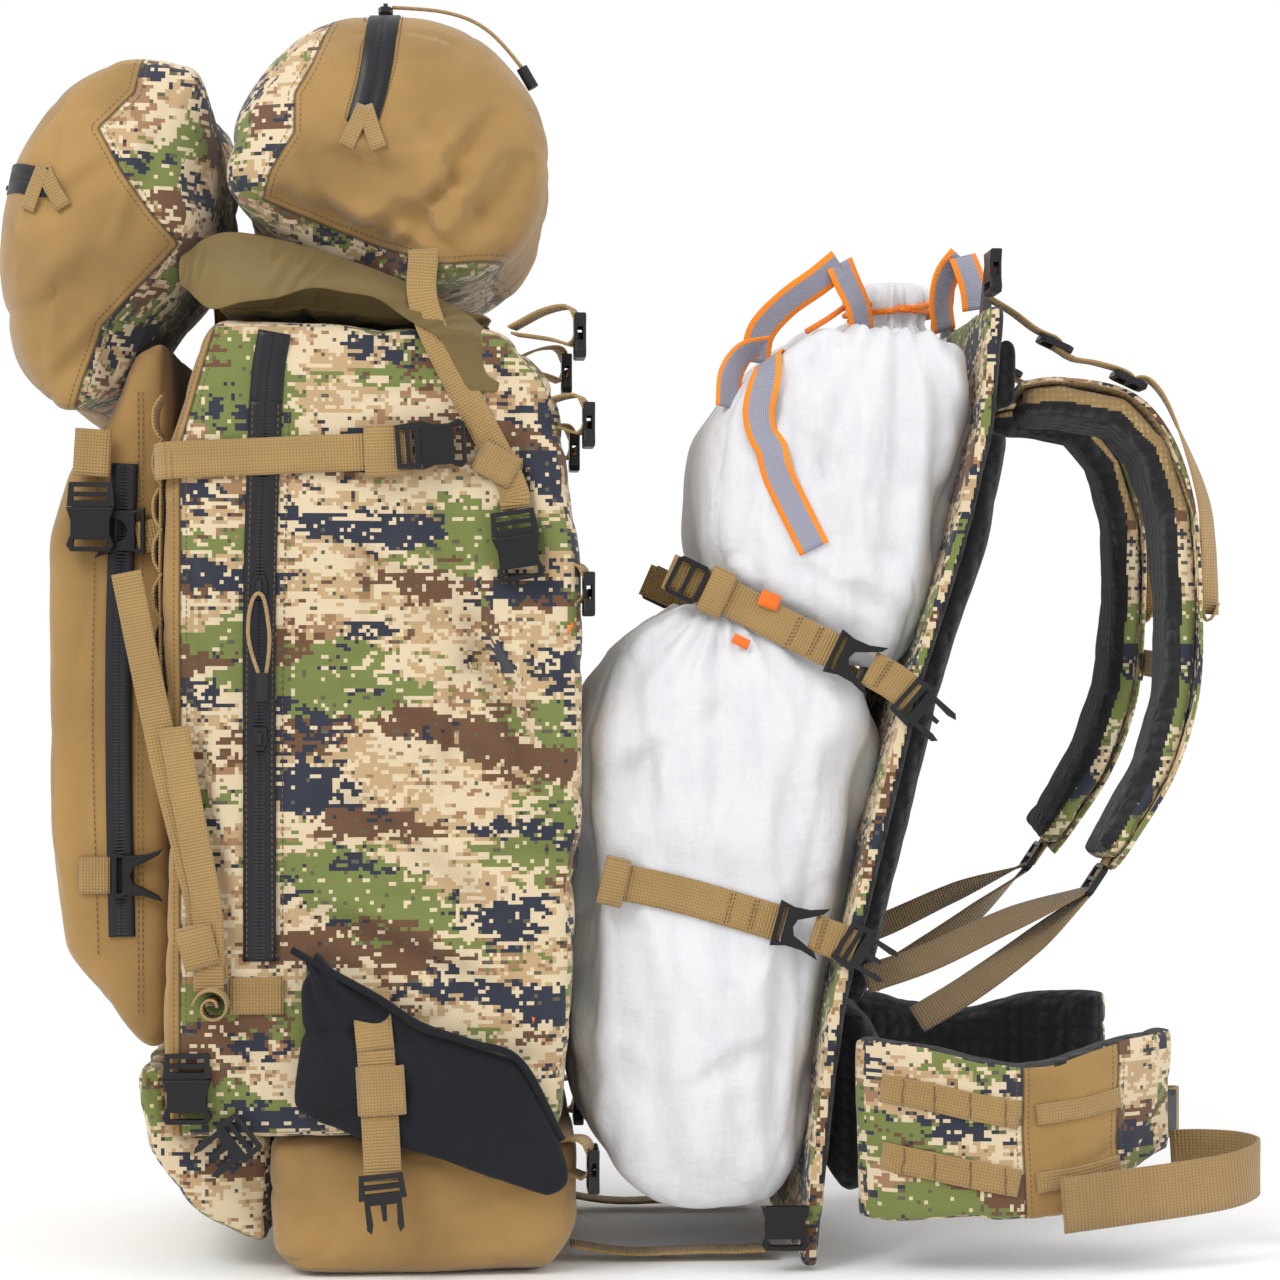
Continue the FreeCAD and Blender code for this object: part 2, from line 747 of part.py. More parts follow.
tail_face = side + 4
tail = [(dim.bag_front + 34, dim.boot_top + 108), (dim.bag_front - 24, pocket_head - 165)]
roll = doc.addObject("Part::Cylinder", "Roll")
bind(roll, "Radius", 13)
bind(roll, "Height", dim.web_wide)
for axis, size in zip("xyz", (dim.bag_front + 34, -tail_face + 1, dim.boot_top + 92)):
    bind(roll, f"Placement.Base.{axis}", size)
roll.Placement.Rotation = FreeCAD.Rotation(FreeCAD.Vector(1, 0, 0), 90)
pair("lid_tail_webbing", [side_band(tail, 20, tail_face), roll])

# Lid -------------------------------------------------------------------------------------------

front_lobe = [
    (dim.valley_x - 100, dim.valley_z - 166),
    (dim.valley_x - 76, dim.valley_z - 150),
    (dim.valley_x - 62, dim.valley_z - 104),
    (dim.valley_x - 10, dim.valley_z - 31),
    (dim.valley_x - 2, dim.valley_z + 84),
    (dim.valley_x - 60, dim.valley_z + 88),
    (dim.valley_x - 102, dim.valley_z + 66),
    (dim.lid_front + 10, dim.valley_z + 20),
    (dim.lid_front, dim.valley_z - 40),
    (dim.lid_front + 16, dim.valley_z - 124),
]
soft("lid_front_lobe", front_lobe, 2 * dim.lid_half - 20, 10, 16)

top_lobe = [
    (dim.valley_x + 1, dim.valley_z),
    (dim.valley_x + 11, dim.valley_z + 46),
    (dim.valley_x + 33, dim.valley_z + 81),
    (dim.valley_x + 60, dim.lid_top - 14),
    (dim.valley_x + 88, dim.lid_top),
    (dim.lid_back - 86, dim.lid_top),
    (dim.lid_back - 51, dim.lid_top - 13),
    (dim.lid_back - 19, dim.lid_top - 54),
    (dim.lid_back, dim.valley_z + 28),
    (dim.lid_back - 3, dim.valley_z - 7),
    (dim.lid_back - 15, dim.valley_z - 43),
    (dim.lid_back - 44, dim.valley_z - 64),
    (dim.lid_back - 79, dim.valley_z - 70),
    (dim.valley_x + 17, dim.valley_z - 17),
]
soft("lid_top_lobe", top_lobe, 2 * dim.lid_half, 6, 30)

# The zips of the lid run across the pack, one on each lobe.
TAPE = make_tape(2 * dim.lid_half - 110)
across = (0, 1, 0)
up = (0, 0, 1)
ahead = (-0.962, 0, 0.272)
top_zip_x = dim.valley_x + 116
top_zip_z = dim.lid_top + dim.lay_gap
front_zip = (dim.lid_front + 6.9 - 0.6, dim.valley_z + 3)


def off_front(gap):
    """A place at a given distance off the middle of the front lobe's forward face."""
    return front_zip[0] + ahead[0] * gap, front_zip[1] + ahead[2] * gap


tape_x, tape_z = off_front(dim.lay_gap + dim.tape_thick / 2)
group(
    "lid_zip_tapes",
    [
        put(TAPE, top_zip_x, 0, top_zip_z + dim.tape_thick / 2, across, up),
        put(TAPE, tape_x, 0, tape_z, across, ahead),
    ],
)
top_slider_z = top_zip_z + dim.tape_thick + 0.3 + dim.slider_thick / 2
top_slider_y = -90
group("lid_top_slider", [put(SLIDER, top_zip_x, top_slider_y, top_slider_z, across, up)])
slider_x, slider_z = off_front(dim.lay_gap + dim.tape_thick + 0.3 + dim.slider_thick / 2)
group("lid_front_slider", [put(SLIDER, slider_x, -70, slider_z, across, ahead)])

lid_pull_route = [
    (top_zip_x + 7, top_slider_y, dim.lid_top + 8),
    (top_zip_x + 22, top_slider_y - 2, dim.lid_top + 6),
    (top_zip_x + 42, top_slider_y - 7, dim.lid_top + 3),
    (top_zip_x + 62, top_slider_y - 12, dim.lid_top - 4),
    (top_zip_x + 80, top_slider_y - 14, dim.lid_top - 18),
    (top_zip_x + 94, top_slider_y - 13, dim.lid_top - 36),
]
group("lid_pull_cord", [cord("LidPull", lid_pull_route, dim.cord_thick)])
lid_end = doc.addObject("Part::Cylinder", "LidPullEnd")
bind(lid_end, "Radius", 4)
bind(lid_end, "Height", 16)
lid_end.Placement.Rotation = FreeCAD.Rotation(FreeCAD.Vector(0, 1, 0), 150)
for axis, size in zip("xyz", (top_zip_x + 94.2, top_slider_y - 13, dim.lid_top - 36.4)):
    bind(lid_end, f"Placement.Base.{axis}", size)
group("lid_pull_end", [lid_end])

lid_web = dim.lid_half + dim.lay_gap
lid_strap = [
    (dim.pivot_x, dim.pivot_z + 6),
    (dim.pivot_x - 6, dim.pivot_z + 30),
    (dim.pivot_x - 58, dim.pivot_z + 132),
    (dim.pivot_x - 62, dim.pivot_z + 180),
]
lid_drop_y = lid_buckle_y + dim.buckle_thick / 2 - dim.web_thick
lid_drop = [(lid_buckle_x, lid_buckle_z + 21), (lid_buckle_x + 2, dim.valley_z - 166)]
pair("lid_webbing", [
    side_band(lid_strap, dim.narrow_web_wide, lid_web),
    side_band(lid_drop, dim.narrow_web_wide, -lid_drop_y),
])
pair("lid_front_plugs", [put(PLUG, lid_buckle_x, lid_buckle_y, lid_buckle_z, down)])

rear_y = -(lid_web + dim.web_thick + dim.lay_gap + dim.buckle_thick / 2)
leaning = (0.15, 0, -1)
rear_buckle_z = dim.pivot_z - 12
plugs = [put(PLUG, dim.pivot_x, rear_y, rear_buckle_z, leaning)]
sockets = [put(SOCKET, dim.pivot_x, rear_y, rear_buckle_z, leaning)]

# Buckles along the bag's frame-side edge, and the hanging ones at the lower pouch

edge_y = -(dim.bag_half - 12)
rearward = (1, 0, 0)
edge_gap = dim.lay_gap + dim.buckle_thick / 2
edge_spots = (
    (dim.bag_rear - 6, dim.bag_top + 2),
    (dim.bag_rear, dim.bag_top - 58),
    (dim.bag_rear, dim.bag_top - 172),
    (dim.bag_rear + 3, dim.boot_top - 8),
)
sockets += [put(SOCKET, x + edge_gap, edge_y, z, down, rearward) for x, z in edge_spots]

pouch_y = -(side + dim.buckle_thick / 2)
pouch_x = boot_front - 46
sockets.append(put(SOCKET, pouch_x - 8, pouch_y, dim.boot_top + 42, down))
plugs += [
    put(PLUG, pouch_x - 8, pouch_y, dim.boot_top + 42, down),
    put(PLUG, pouch_x + 20, pouch_y, dim.boot_top - 2, (-0.8, 0, -0.6)),
]

# A strap with a free plug hangs over each side pocket from a stitched end.
hang_face = side + dim.pocket_bulge + dim.lay_gap
hang_x = dim.bag_front + 145
hang_top = dim.boot_top + 64
hang_strap = [(hang_x + 2, hang_top - 88), (hang_x - 3, hang_top)]
hang_plug = put(PLUG, hang_x + 2, -(hang_face + dim.buckle_thick / 2), hang_top - 100,
                (0.1, 0, -1))
sides("pocket_strap", [
    side_band(hang_strap, dim.web_wide, hang_face - dim.lay_gap / 2),
    hang_plug,
])

# Game bag --------------------------------------------------------------------------------------

lower_load = [
    (dim.frame_foot - 52, 30),
    (dim.frame_foot - 7, 34),
    (dim.frame_foot + dim.frame_lean * 0.07, 60),
    (dim.frame_foot + dim.frame_lean * 0.13, 130),
    (dim.frame_foot + dim.frame_lean * 0.336, 275),
    (dim.waist_x - 8, dim.waist_z - 18),
    (dim.waist_x - 14, dim.waist_z + 4),
    (dim.waist_x - 57, dim.waist_z + 30),
    (dim.waist_x - 117, dim.waist_z + 60),
    (dim.waist_x - 157, dim.waist_z + 54),
    (dim.waist_x - 187, dim.waist_z + 24),
    (dim.bag_rear + 6, dim.waist_z - 29),
    (dim.bag_rear + 2, dim.waist_z - 90),
    (dim.bag_rear + 1, 150),
    (dim.bag_rear + 8, 96),
    (dim.bag_rear + 28, 56),
    (dim.bag_rear + 55, 36),
]
soft("game_bag_lower", lower_load, 2 * dim.load_half, 6, 18)
upper_load = [
    (dim.waist_x, dim.waist_z + 1),
    (dim.waist_x + dim.frame_lean * 0.2, dim.waist_z + 79),
    (dim.waist_x + dim.frame_lean * 0.35, dim.waist_z + 161),
    (dim.brow_x, dim.waist_z + 224),
    (dim.brow_x - 9, dim.waist_z + 240),
    (dim.waist_x - 12, dim.waist_z + 245),
    (dim.waist_x - 57, dim.waist_z + 239),
    (dim.waist_x - 95, dim.waist_z + 217),
    (dim.waist_x - 125, dim.waist_z + 174),
    (dim.waist_x - 132, dim.waist_z + 129),
    (dim.waist_x - 129, dim.waist_z + 94),
    (dim.waist_x - 116, dim.waist_z + 67),
]
soft("game_bag_upper", upper_load, 2 * dim.load_half, 5, 20)
neck = doc.addObject("Part::Cone", "Neck")
bind(neck, "Radius1", 31)
bind(neck, "Radius2", 24)
bind(neck, "Height", 42)
neck_top = dim.waist_z + 246
for axis, size in zip("xyz", (dim.waist_x + 12, 0, neck_top)):
    bind(neck, f"Placement.Base.{axis}", size)
loop_cord = doc.addObject("Part::Torus", "NeckCord")
bind(loop_cord, "Radius1", 34)
bind(loop_cord, "Radius2", 1.8)
for axis, size in zip("xyz", (dim.waist_x + 12, 0, neck_top + 12)):
    bind(loop_cord, f"Placement.Base.{axis}", size)
group("game_bag_neck", [neck, loop_cord])

handle = [
    (dim.waist_x - 99, neck_top - 22),
    (dim.waist_x - 84, neck_top + 10),
    (dim.waist_x - 30, neck_top + 34),
    (dim.waist_x - 36, neck_top + 4),
]
rear_handle = [
    (dim.brow_x - 7, neck_top + 4),
    (dim.brow_x - 19, neck_top + 40),
    (dim.brow_x + 3, neck_top + 52),
    (dim.brow_x + 11, neck_top + 14),
]
side_handle = [
    (dim.waist_x - 58, neck_top - 160),
    (dim.waist_x - 92, neck_top - 90),
    (dim.waist_x - 86, neck_top - 34),
]
grip_y = 58
group("game_bag_handles", [
    ribbon(handle, dim.web_thick, dim.web_wide, -grip_y),
    ribbon(rear_handle, dim.web_thick, dim.web_wide, -grip_y),
    side_band(side_handle, dim.narrow_web_wide, load_side),
])

# Load straps: each side's webbing with its lock, its split-bar hook and the loop on the frame

load_web = load_side + 1.0
lock_y = -(load_web + dim.web_thick + dim.lay_gap + dim.lock_thick / 2)
high_a = (dim.waist_x - 158, dim.waist_z + 76)
high_b = (dim.waist_x - 40, dim.waist_z + 19)
low_a = (dim.bag_rear + 16, 268)
low_b = (dim.frame_foot - 4, 236)


def level(start, end):
    """The direction from one place of a side view to another."""
    return Size.of(end[0] - start[0]).number, 0, Size.of(end[1] - start[1]).number


high_way = level(high_a, high_b)
low_way = level(low_a, low_b)
strap_foot = [(dim.bag_rear - 6, 12), (dim.bag_rear + 40, 6), (dim.frame_foot - 8, 8)]
pair("load_webbing", [
    side_band([high_a, high_b], dim.web_wide, load_web),
    side_band([low_a, low_b], dim.web_wide, load_web),
    ribbon(strap_foot, dim.web_thick, dim.web_wide, -100),
])
hooks += [
    put(HOOK, high_b[0] - 6, lock_y, high_b[1] + 3, high_way),
    put(HOOK, low_b[0] - 6, lock_y, low_b[1] + 2, low_way),
]
pair("split_bar_hooks", hooks)
locks = [put(LOCK, high_a[0] + 2, lock_y, high_a[1] - 1, high_way)]

# Frame -----------------------------------------------------------------------------------------

foot = dim.frame_foot
lean = dim.frame_lean
top = dim.frame_top
frame_line = [
    (foot + lean * 0.05, 4),
    (foot + lean * 0.12, top * 0.14),
    (foot + lean * 0.20, top * 0.27),
    (foot + lean * 0.39, top * 0.43),
    (foot + lean * 0.61, top * 0.61),
    (foot + lean * 0.85, top * 0.76),
    (foot + lean * 0.99, top * 0.88),
    (foot + lean * 1.04, top),
]
stay_line = shift(frame_line, x=(dim.panel_thick - dim.stay_thick) / 2) + [
    (foot + lean * 1.09, top + 34)
]
panel = ribbon(frame_line, dim.panel_thick, 2 * dim.frame_half, 0, name="Panel")
stays = []
slots = []
for place in (-dim.stay_spread, dim.stay_spread):
    stays.append(ribbon(stay_line, dim.stay_thick, dim.stay_wide, place, name="Stay"))
    slot_line = shift(stay_line, x=-0.3)
    slots.append(ribbon(slot_line, dim.stay_thick + 0.6, dim.stay_wide + 0.6, place, name="Slot"))
cut = doc.addObject("Part::Cut", "PanelCut")
cut.Base = panel
channels = doc.addObject("Part::Compound", "Channels")
channels.Links = slots
cut.Tool = channels
node(cut, "frame_panel")
group("frame_stays", stays)

pad_line = shift(frame_line[2:7], x=dim.panel_thick * 1.06)
group("back_pad", [ribbon(pad_line, dim.pad_thick, 2 * dim.pad_half, 0)])
lumbar_x = foot + lean * 0.20 + dim.panel_thick + dim.lay_gap
lumbar = [
    (lumbar_x, 40),
    (lumbar_x + dim.lumbar_thick * 0.6, 40),
    (lumbar_x + dim.lumbar_thick, 70),
    (lumbar_x + dim.lumbar_thick, 145),
    (lumbar_x + dim.lumbar_thick * 0.6, top * 0.27 - 6),
    (lumbar_x, top * 0.27 - 6),
]
soft("lumbar_pad", lumbar, 180, 8, 10)
yoke_x = foot + lean * 1.03 + dim.panel_thick
yoke = [(yoke_x, 592), (yoke_x + 15, 592), (yoke_x + 17, 640), (yoke_x + 3, 640)]
soft("yoke_pad", yoke, 2 * dim.yoke_half + 66, 4)

# Shoulder straps, flared downwards about the yoke

strap_line = [
    (yoke_x + 19, 603),
    (yoke_x + 48, 606),
    (yoke_x + 94, 597),
    (yoke_x + 121, 568),
    (yoke_x + 136, 519),
    (yoke_x + 139, 459),
    (yoke_x + 135, 391),
    (yoke_x + 117, 336),
    (yoke_x + 88, 290),
    (yoke_x + 76, 274),
]
flare = 8.3
strap_spread = dim.strap_mid - 32
shoulder = ribbon(strap_line, dim.strap_thick, dim.strap_wide, -strap_spread, name="Shoulder")
shoulder.Placement.Rotation = FreeCAD.Rotation(FreeCAD.Vector(1, 0, 0), -flare)
lift = math.tan(math.radians(flare))
drop = Size.of(590)
bind(shoulder, "Placement.Base.y",
     -strap_spread + dim.strap_wide / 2 - drop * round(lift, 5))
sides("shoulder_strap", [shoulder])

# Hardware at the frame's edges and top

frame_y = -(dim.frame_half - 22)
high_x = foot + lean * 0.61 + dim.panel_thick
low_x = foot + lean * 0.30 + dim.panel_thick
rim_y = -(dim.frame_half + dim.lay_gap + 2.4)
plugs += [
    put(PLUG, high_x - 2, rim_y, dim.waist_z - 18, (0.75, 0, -0.66)),
    put(PLUG, low_x - 2, rim_y, 218, (0.85, 0, -0.53)),
]
top_x = foot + lean * 1.04
sockets += [
    put(SOCKET, top_x + 6, frame_y, top + 38, down, rearward),
    put(SOCKET, foot - 4, -(dim.frame_half + dim.lay_gap + 4), 46, down),
]
pair("strap_plugs", plugs)
pair("strap_sockets", sockets)

# Load lifters, their ladder locks and their loose tails

lifter_y = -(strap_spread + 30)
lock_a = (yoke_x + 32, top - 20)
lock_b = (yoke_x + 84, top - 44)
lifter_way = level(lock_a, lock_b)
first_lifter = [(yoke_x + 4, top + 4), (lock_a[0] - 1, lock_a[1] + 5)]
second_lifter = [(lock_a[0] + 21, lock_a[1] - 16), (lock_b[0] - 1, lock_b[1] + 3)]
lifter_tail = [
    (lock_b[0] + 21, lock_b[1] - 2),
    (yoke_x + 128, top - 76),
    (yoke_x + 150, top - 150),
    (yoke_x + 150, top - 212),
]
lifters = [
    ribbon(first_lifter, dim.web_thick, dim.narrow_web_wide, lifter_y),
    ribbon(second_lifter, dim.web_thick, dim.narrow_web_wide, lifter_y),
    ribbon(lifter_tail, dim.web_thick, dim.narrow_web_wide, lifter_y),
]
upward = (0.6, 0, 0.8)
locks += [
    put(LOCK, lock_a[0], lifter_y, lock_a[1] + 1, lifter_way, upward),
    put(LOCK, lock_b[0], lifter_y, lock_b[1], lifter_way, upward),
]

# Lower shoulder webbing, from a ladder lock at the strap's end back to the frame's foot

under_y = -(dim.strap_mid + 18)
under_x = yoke_x + 66
under_z = 262
pair("harness_webbing", lifters + [
    ribbon([(foot + 54, 196), (under_x - 12, under_z - 6)], dim.web_thick,
           dim.narrow_web_wide, under_y),
    ribbon([(foot + 90, 168), (under_x - 12, under_z - 21)], dim.web_thick,
           dim.narrow_web_wide, under_y),
])
locks.append(put(LOCK, under_x - 6, under_y, under_z - 8, (0.55, 0, 0.83), (-0.83, 0, 0.55)))
pair("ladder_locks", locks)

# Sternum strap: sliders on the shoulder straps, webbing and a joined buckle between them

chest_x = yoke_x + 143
chest_z = 413
chest_y = strap_spread + 24
chest_sliders = [
    put(LOCK, chest_x, -chest_y - dim.lock_long / 2, chest_z, (0, 1, 0), rearward),
]
pair("sternum_sliders", chest_sliders)
chest_web_x = chest_x + dim.lock_thick / 2 + dim.lay_gap
near_web = ribbon(
    [(chest_web_x, -chest_y - 8), (chest_web_x, -dim.socket_long - 3)],
    dim.web_thick, dim.narrow_web_wide, chest_z - dim.narrow_web_wide / 2, plane="XY",
)
far_web = ribbon(
    [(chest_web_x, dim.plug_base_long + 4), (chest_web_x, chest_y + 8)],
    dim.web_thick, dim.narrow_web_wide, chest_z - dim.narrow_web_wide / 2, plane="XY",
)
group("sternum_webbing", [near_web, far_web])
chest_buckle_x = chest_web_x + 1
group("sternum_socket", [put(SOCKET, chest_buckle_x, 0, chest_z, (0, -1, 0), rearward)])
group("sternum_plug", [put(PLUG, chest_buckle_x, 0, chest_z, (0, -1, 0), rearward)])

# Belt wings, with a buckle half and a folded webbing tail at each tip

wing_root_x = foot + lean * 0.20 + dim.panel_thick + 14
wing_line = [
    (wing_root_x, -(dim.wing_out - 44)),
    (wing_root_x + 24, -(dim.wing_out - 24)),
    (wing_root_x + 88, -(dim.wing_out - 19)),
    (wing_root_x + 148, -(dim.wing_out - 30)),
    (dim.wing_tip - 34, -(dim.wing_out - 52)),
    (dim.wing_tip - 12, -(dim.wing_out - 78)),
]
wing = ribbon(wing_line, dim.wing_thick, dim.wing_tall, dim.wing_low, plane="XY", name="Wing")
sides("belt_wing", [wing])
tip_z = dim.wing_low + 52
tip_y = -(dim.wing_out - 88)
belt_tail = [
    (dim.wing_tip + 4, tip_y - 4),
    (dim.wing_tip + 46, tip_y - 22),
    (dim.wing_tip + 54, tip_y - 44),
    (dim.wing_tip + 34, tip_y - 66),
    (dim.wing_tip - 90, -(dim.wing_out + 6)),
]
belt_web = ribbon(list(reversed(belt_tail)), dim.web_thick, dim.belt_web_wide,
                  tip_z - 38, plane="XY", name="BeltTail")
sides("belt_webbing", [belt_web])
tip_way = (0.55, 0.83, 0)
belt_socket = put(SOCKET, dim.wing_tip + 14, tip_y + 38, tip_z + 6, (-0.55, -0.83, 0),
                  (0.83, -0.55, 0))
belt_plug = mirrored(put(PLUG, dim.wing_tip + 2, tip_y + 20, tip_z + 6, tip_way, (0.83, -0.55, 0)))
group("belt_socket", [belt_socket])
group("belt_plug", [belt_plug])

# Check everything and write it ------------------------------------------------------------------

doc.recompute()
failed = [
    (o.Label, [user.Label for user in o.InList])
    for o in doc.Objects
    if {"Invalid", "Error"} & set(o.State)
]
if failed:
    raise SystemExit(f"not computed: {failed}")
bad = [o.Label for o in nodes if o.Shape.isNull() or not o.Shape.isValid()]
if bad:
    raise SystemExit(f"bad shapes: {bad}")
os.makedirs("parts", exist_ok=True)
for feature in nodes:
    feature.Shape.exportStep(f"parts/{feature.Label}.step")
whole = Part.makeCompound([feature.Shape for feature in nodes]).BoundBox
print(f"{len(nodes)} nodes, {whole.XLength:.0f} x {whole.YLength:.0f} x {whole.ZLength:.0f} mm")
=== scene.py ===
import math

import bmesh
import bpy
import numpy as np
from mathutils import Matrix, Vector
from mathutils.bvhtree import BVHTree


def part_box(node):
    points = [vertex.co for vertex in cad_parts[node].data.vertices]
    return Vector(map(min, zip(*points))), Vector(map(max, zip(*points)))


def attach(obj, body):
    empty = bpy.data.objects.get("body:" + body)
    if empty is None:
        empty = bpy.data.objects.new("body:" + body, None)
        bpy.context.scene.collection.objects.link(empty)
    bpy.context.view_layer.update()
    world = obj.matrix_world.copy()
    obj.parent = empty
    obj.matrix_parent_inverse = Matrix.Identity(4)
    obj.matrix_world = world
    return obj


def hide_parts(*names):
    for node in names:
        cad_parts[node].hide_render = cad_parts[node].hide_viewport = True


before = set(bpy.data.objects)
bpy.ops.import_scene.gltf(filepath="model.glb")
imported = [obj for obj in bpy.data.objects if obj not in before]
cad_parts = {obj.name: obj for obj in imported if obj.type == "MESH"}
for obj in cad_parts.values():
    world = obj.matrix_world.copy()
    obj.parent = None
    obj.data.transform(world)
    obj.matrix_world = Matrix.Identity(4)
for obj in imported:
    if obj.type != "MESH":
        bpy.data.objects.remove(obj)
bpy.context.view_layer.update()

MM = 0.001
scene = bpy.context.scene


def metres(points):
    return [tuple(value * MM for value in point) for point in points]

# Camera and free cords -------------------------------------------------------------------------

EYE = (-0.1135, -2.30, 0.430)
AIM = (0.0075, 0.0, 0.430)

camera_data = bpy.data.cameras.new("camera")
camera_data.sensor_width = 36
camera_data.lens = 89.3
camera = bpy.data.objects.new("camera", camera_data)
scene.collection.objects.link(camera)
camera.location = EYE
aim = Vector(AIM) - camera.location
camera.rotation_mode = "QUATERNION"
camera.rotation_quaternion = aim.to_track_quat("-Z", "Y")
scene.camera = camera


def cord_piece(name, route, thick, body, node):
    """A free cord as one smooth spline, which stands for its solid."""
    data = bpy.data.curves.new(name, "CURVE")
    data.dimensions = "3D"
    data.bevel_depth = 1.0
    data.bevel_resolution = 4
    data.resolution_u = 10
    data.use_fill_caps = True
    spline = data.splines.new("NURBS")
    spline.points.add(len(route) - 1)
    for point, place in zip(spline.points, route):
        point.co = (*place, 1)
        point.radius = thick / 2
    spline.order_u = 3
    spline.use_endpoint_u = True
    piece = bpy.data.objects.new(name, data)
    scene.collection.objects.link(piece)
    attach(piece, body)
    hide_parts(node)
    return piece


CORD = 0.0026
side_route = metres([
    (-251, -176.7, 408), (-248, -176.7, 426), (-250, -176.7, 446), (-253, -176.7, 461),
    (-259, -176.7, 461), (-263, -176.7, 446), (-263, -176.7, 426), (-256, -176.7, 408),
])
side_pull = cord_piece("side_pull", side_route, CORD, "side_slider_upper_near", "side_pull_cord")
lid_route = metres([
    (-169.5, -90, 869), (-152, -92, 868), (-132, -97, 865), (-112, -102, 858), (-94, -104, 844),
    (-80, -103, 826),
])
lid_pull = cord_piece("lid_pull", lid_route, CORD, "lid_top_slider", "lid_pull_cord")

# Mesh tools ------------------------------------------------------------------------------------


def read(items, key, width=1, kind=np.int32):
    """One value, or row of values, from each of a mesh's items."""
    flat = np.empty(len(items) * width, kind)
    items.foreach_get(key, flat)
    return flat.reshape(-1, width) if width > 1 else flat


def coords(mesh):
    return read(mesh.vertices, "co", 3, float)


def set_coords(mesh, places):
    mesh.vertices.foreach_set("co", np.ascontiguousarray(places, float).ravel())
    mesh.update()


def facing(mesh):
    return read(mesh.vertex_normals, "vector", 3, np.float32).astype(float)


def relax(mesh, times):
    """Evens a mesh out, which rounds its edges: each point goes half way to its neighbours."""
    places = coords(mesh)
    a, b = read(mesh.edges, "vertices", 2).T
    both, others = np.r_[a, b], np.r_[b, a]
    count = np.maximum(np.bincount(both, minlength=len(places)), 1)
    for _ in range(times):
        total = np.stack([
            np.bincount(both, weights=places[others, k], minlength=len(places))
            for k in range(3)
        ], 1)
        places += 0.5 * (total / count[:, None] - places)
    set_coords(mesh, places)


CELLS = 24  # drift repeats after this many cells


def drift(places, size, seed, stretch=(1, 1, 1)):
    """A smooth random value from -1 to 1 at each place, with features of about that size."""
    table = np.random.default_rng(seed).uniform(-1, 1, (CELLS, CELLS, CELLS))
    spots = places / (size * np.array(stretch, float))
    cell = np.floor(spots).astype(int)
    part = spots - cell
    part = part * part * (3 - 2 * part)
    total = np.zeros(len(places))
    for corner in np.ndindex(2, 2, 2):
        weight = np.ones(len(places))
        for k in range(3):
            weight *= part[:, k] if corner[k] else 1 - part[:, k]
        total += weight * table[tuple((cell[:, k] + corner[k]) % CELLS for k in range(3))]
    return total


def creases(places, size, seed, stretch=(1, 1, 1), sharp=5):
    """1 along a random network of creases and 0 between them."""
    return (1 - np.abs(drift(places, size, seed, stretch))) ** sharp


def fold(places, start, end, wide, deep):
    """A fold from one place to another: a valley beside a ridge, dying out at its ends."""
    a, b = np.array(start) * MM, np.array(end) * MM
    run = b - a
    long = np.linalg.norm(run)
    share = np.clip((places - a) @ run / long**2, -0.2, 1.2)
    off = places - (a + share[:, None] * run)
    side = np.cross(run / long, (0, 1, 0))
    signed = off @ side / (wide * MM)
    ends = np.clip(np.sin(np.pi * np.clip(share, 0, 1)), 0, 1) ** 0.6
    near = np.exp(-((off[:, 1] / 0.05) ** 2))
    return deep * MM * ends * near * (np.exp(-(signed**2)) - 0.7 * np.exp(-((signed - 1.3) ** 2)))


def folded(places, disp, folds, y):
    """Adds folds, each ((x, z), (x, z), wide, deep) in mm, to both sides at y and -y."""
    for (x0, z0), (x1, z1), wide, deep in folds:
        for side in (-1, 1):
            disp = disp + fold(places, (x0, side * y, z0), (x1, side * y, z1), wide, deep)
    return disp


def line_distance(spots, line):
    """Signed distance in mm from each spot to a line, plus to its left, and the run along it."""
    line = np.array(line, float)
    best = np.full(len(spots), 1e9)
    sign = np.ones(len(spots))
    along = np.zeros(len(spots))
    done = 0.0
    for a, b in zip(line, line[1:]):
        run = b - a
        long = np.linalg.norm(run)
        share = np.clip((spots - a) @ run / long**2, 0, 1)
        off = spots - (a + share[:, None] * run)
        far = np.linalg.norm(off, axis=1)
        closer = far < best
        best = np.where(closer, far, best)
        turn = run[0] * off[:, 1] - run[1] * off[:, 0]
        sign = np.where(closer, np.where(turn >= 0, 1, -1), sign)
        along = np.where(closer, done + share * long, along)
        done += long
    return best * sign, along


def cloth_layer(mesh, uvs):
    layer = mesh.uv_layers.new(name="cloth")
    layer.data.foreach_set("uv", uvs.astype(np.float32).ravel())


def box_uv(mesh):
    """Lays cloth coordinates, in metres, on each face from the side that it faces."""
    normal = read(mesh.polygons, "normal", 3, np.float32)
    axis = np.repeat(np.abs(normal).argmax(1), read(mesh.polygons, "loop_total"))
    spots = coords(mesh)[read(mesh.loops, "vertex_index")]
    u = np.where(axis == 0, spots[:, 1] + 0.7, spots[:, 0])
    v = np.where(axis == 2, spots[:, 1] + 1.3, spots[:, 2])
    cloth_layer(mesh, np.stack([u, v], 1))


def attribute(mesh, name, values):
    mesh.attributes.new(name, "FLOAT", "POINT").data.foreach_set(
        "value", np.ascontiguousarray(values, np.float32))


def finished(name, mesh, body, look, slot, replaces=(), smooth=True):
    """Makes a mesh a piece on its body, with its material."""
    mesh.materials.clear()
    mesh.materials.append(look)
    mesh.polygons.foreach_set("use_smooth", [smooth] * len(mesh.polygons))
    mesh.update()
    piece = bpy.data.objects.new(name, mesh)
    scene.collection.objects.link(piece)
    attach(piece, body)
    if replaces:
        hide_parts(*replaces)
    return piece


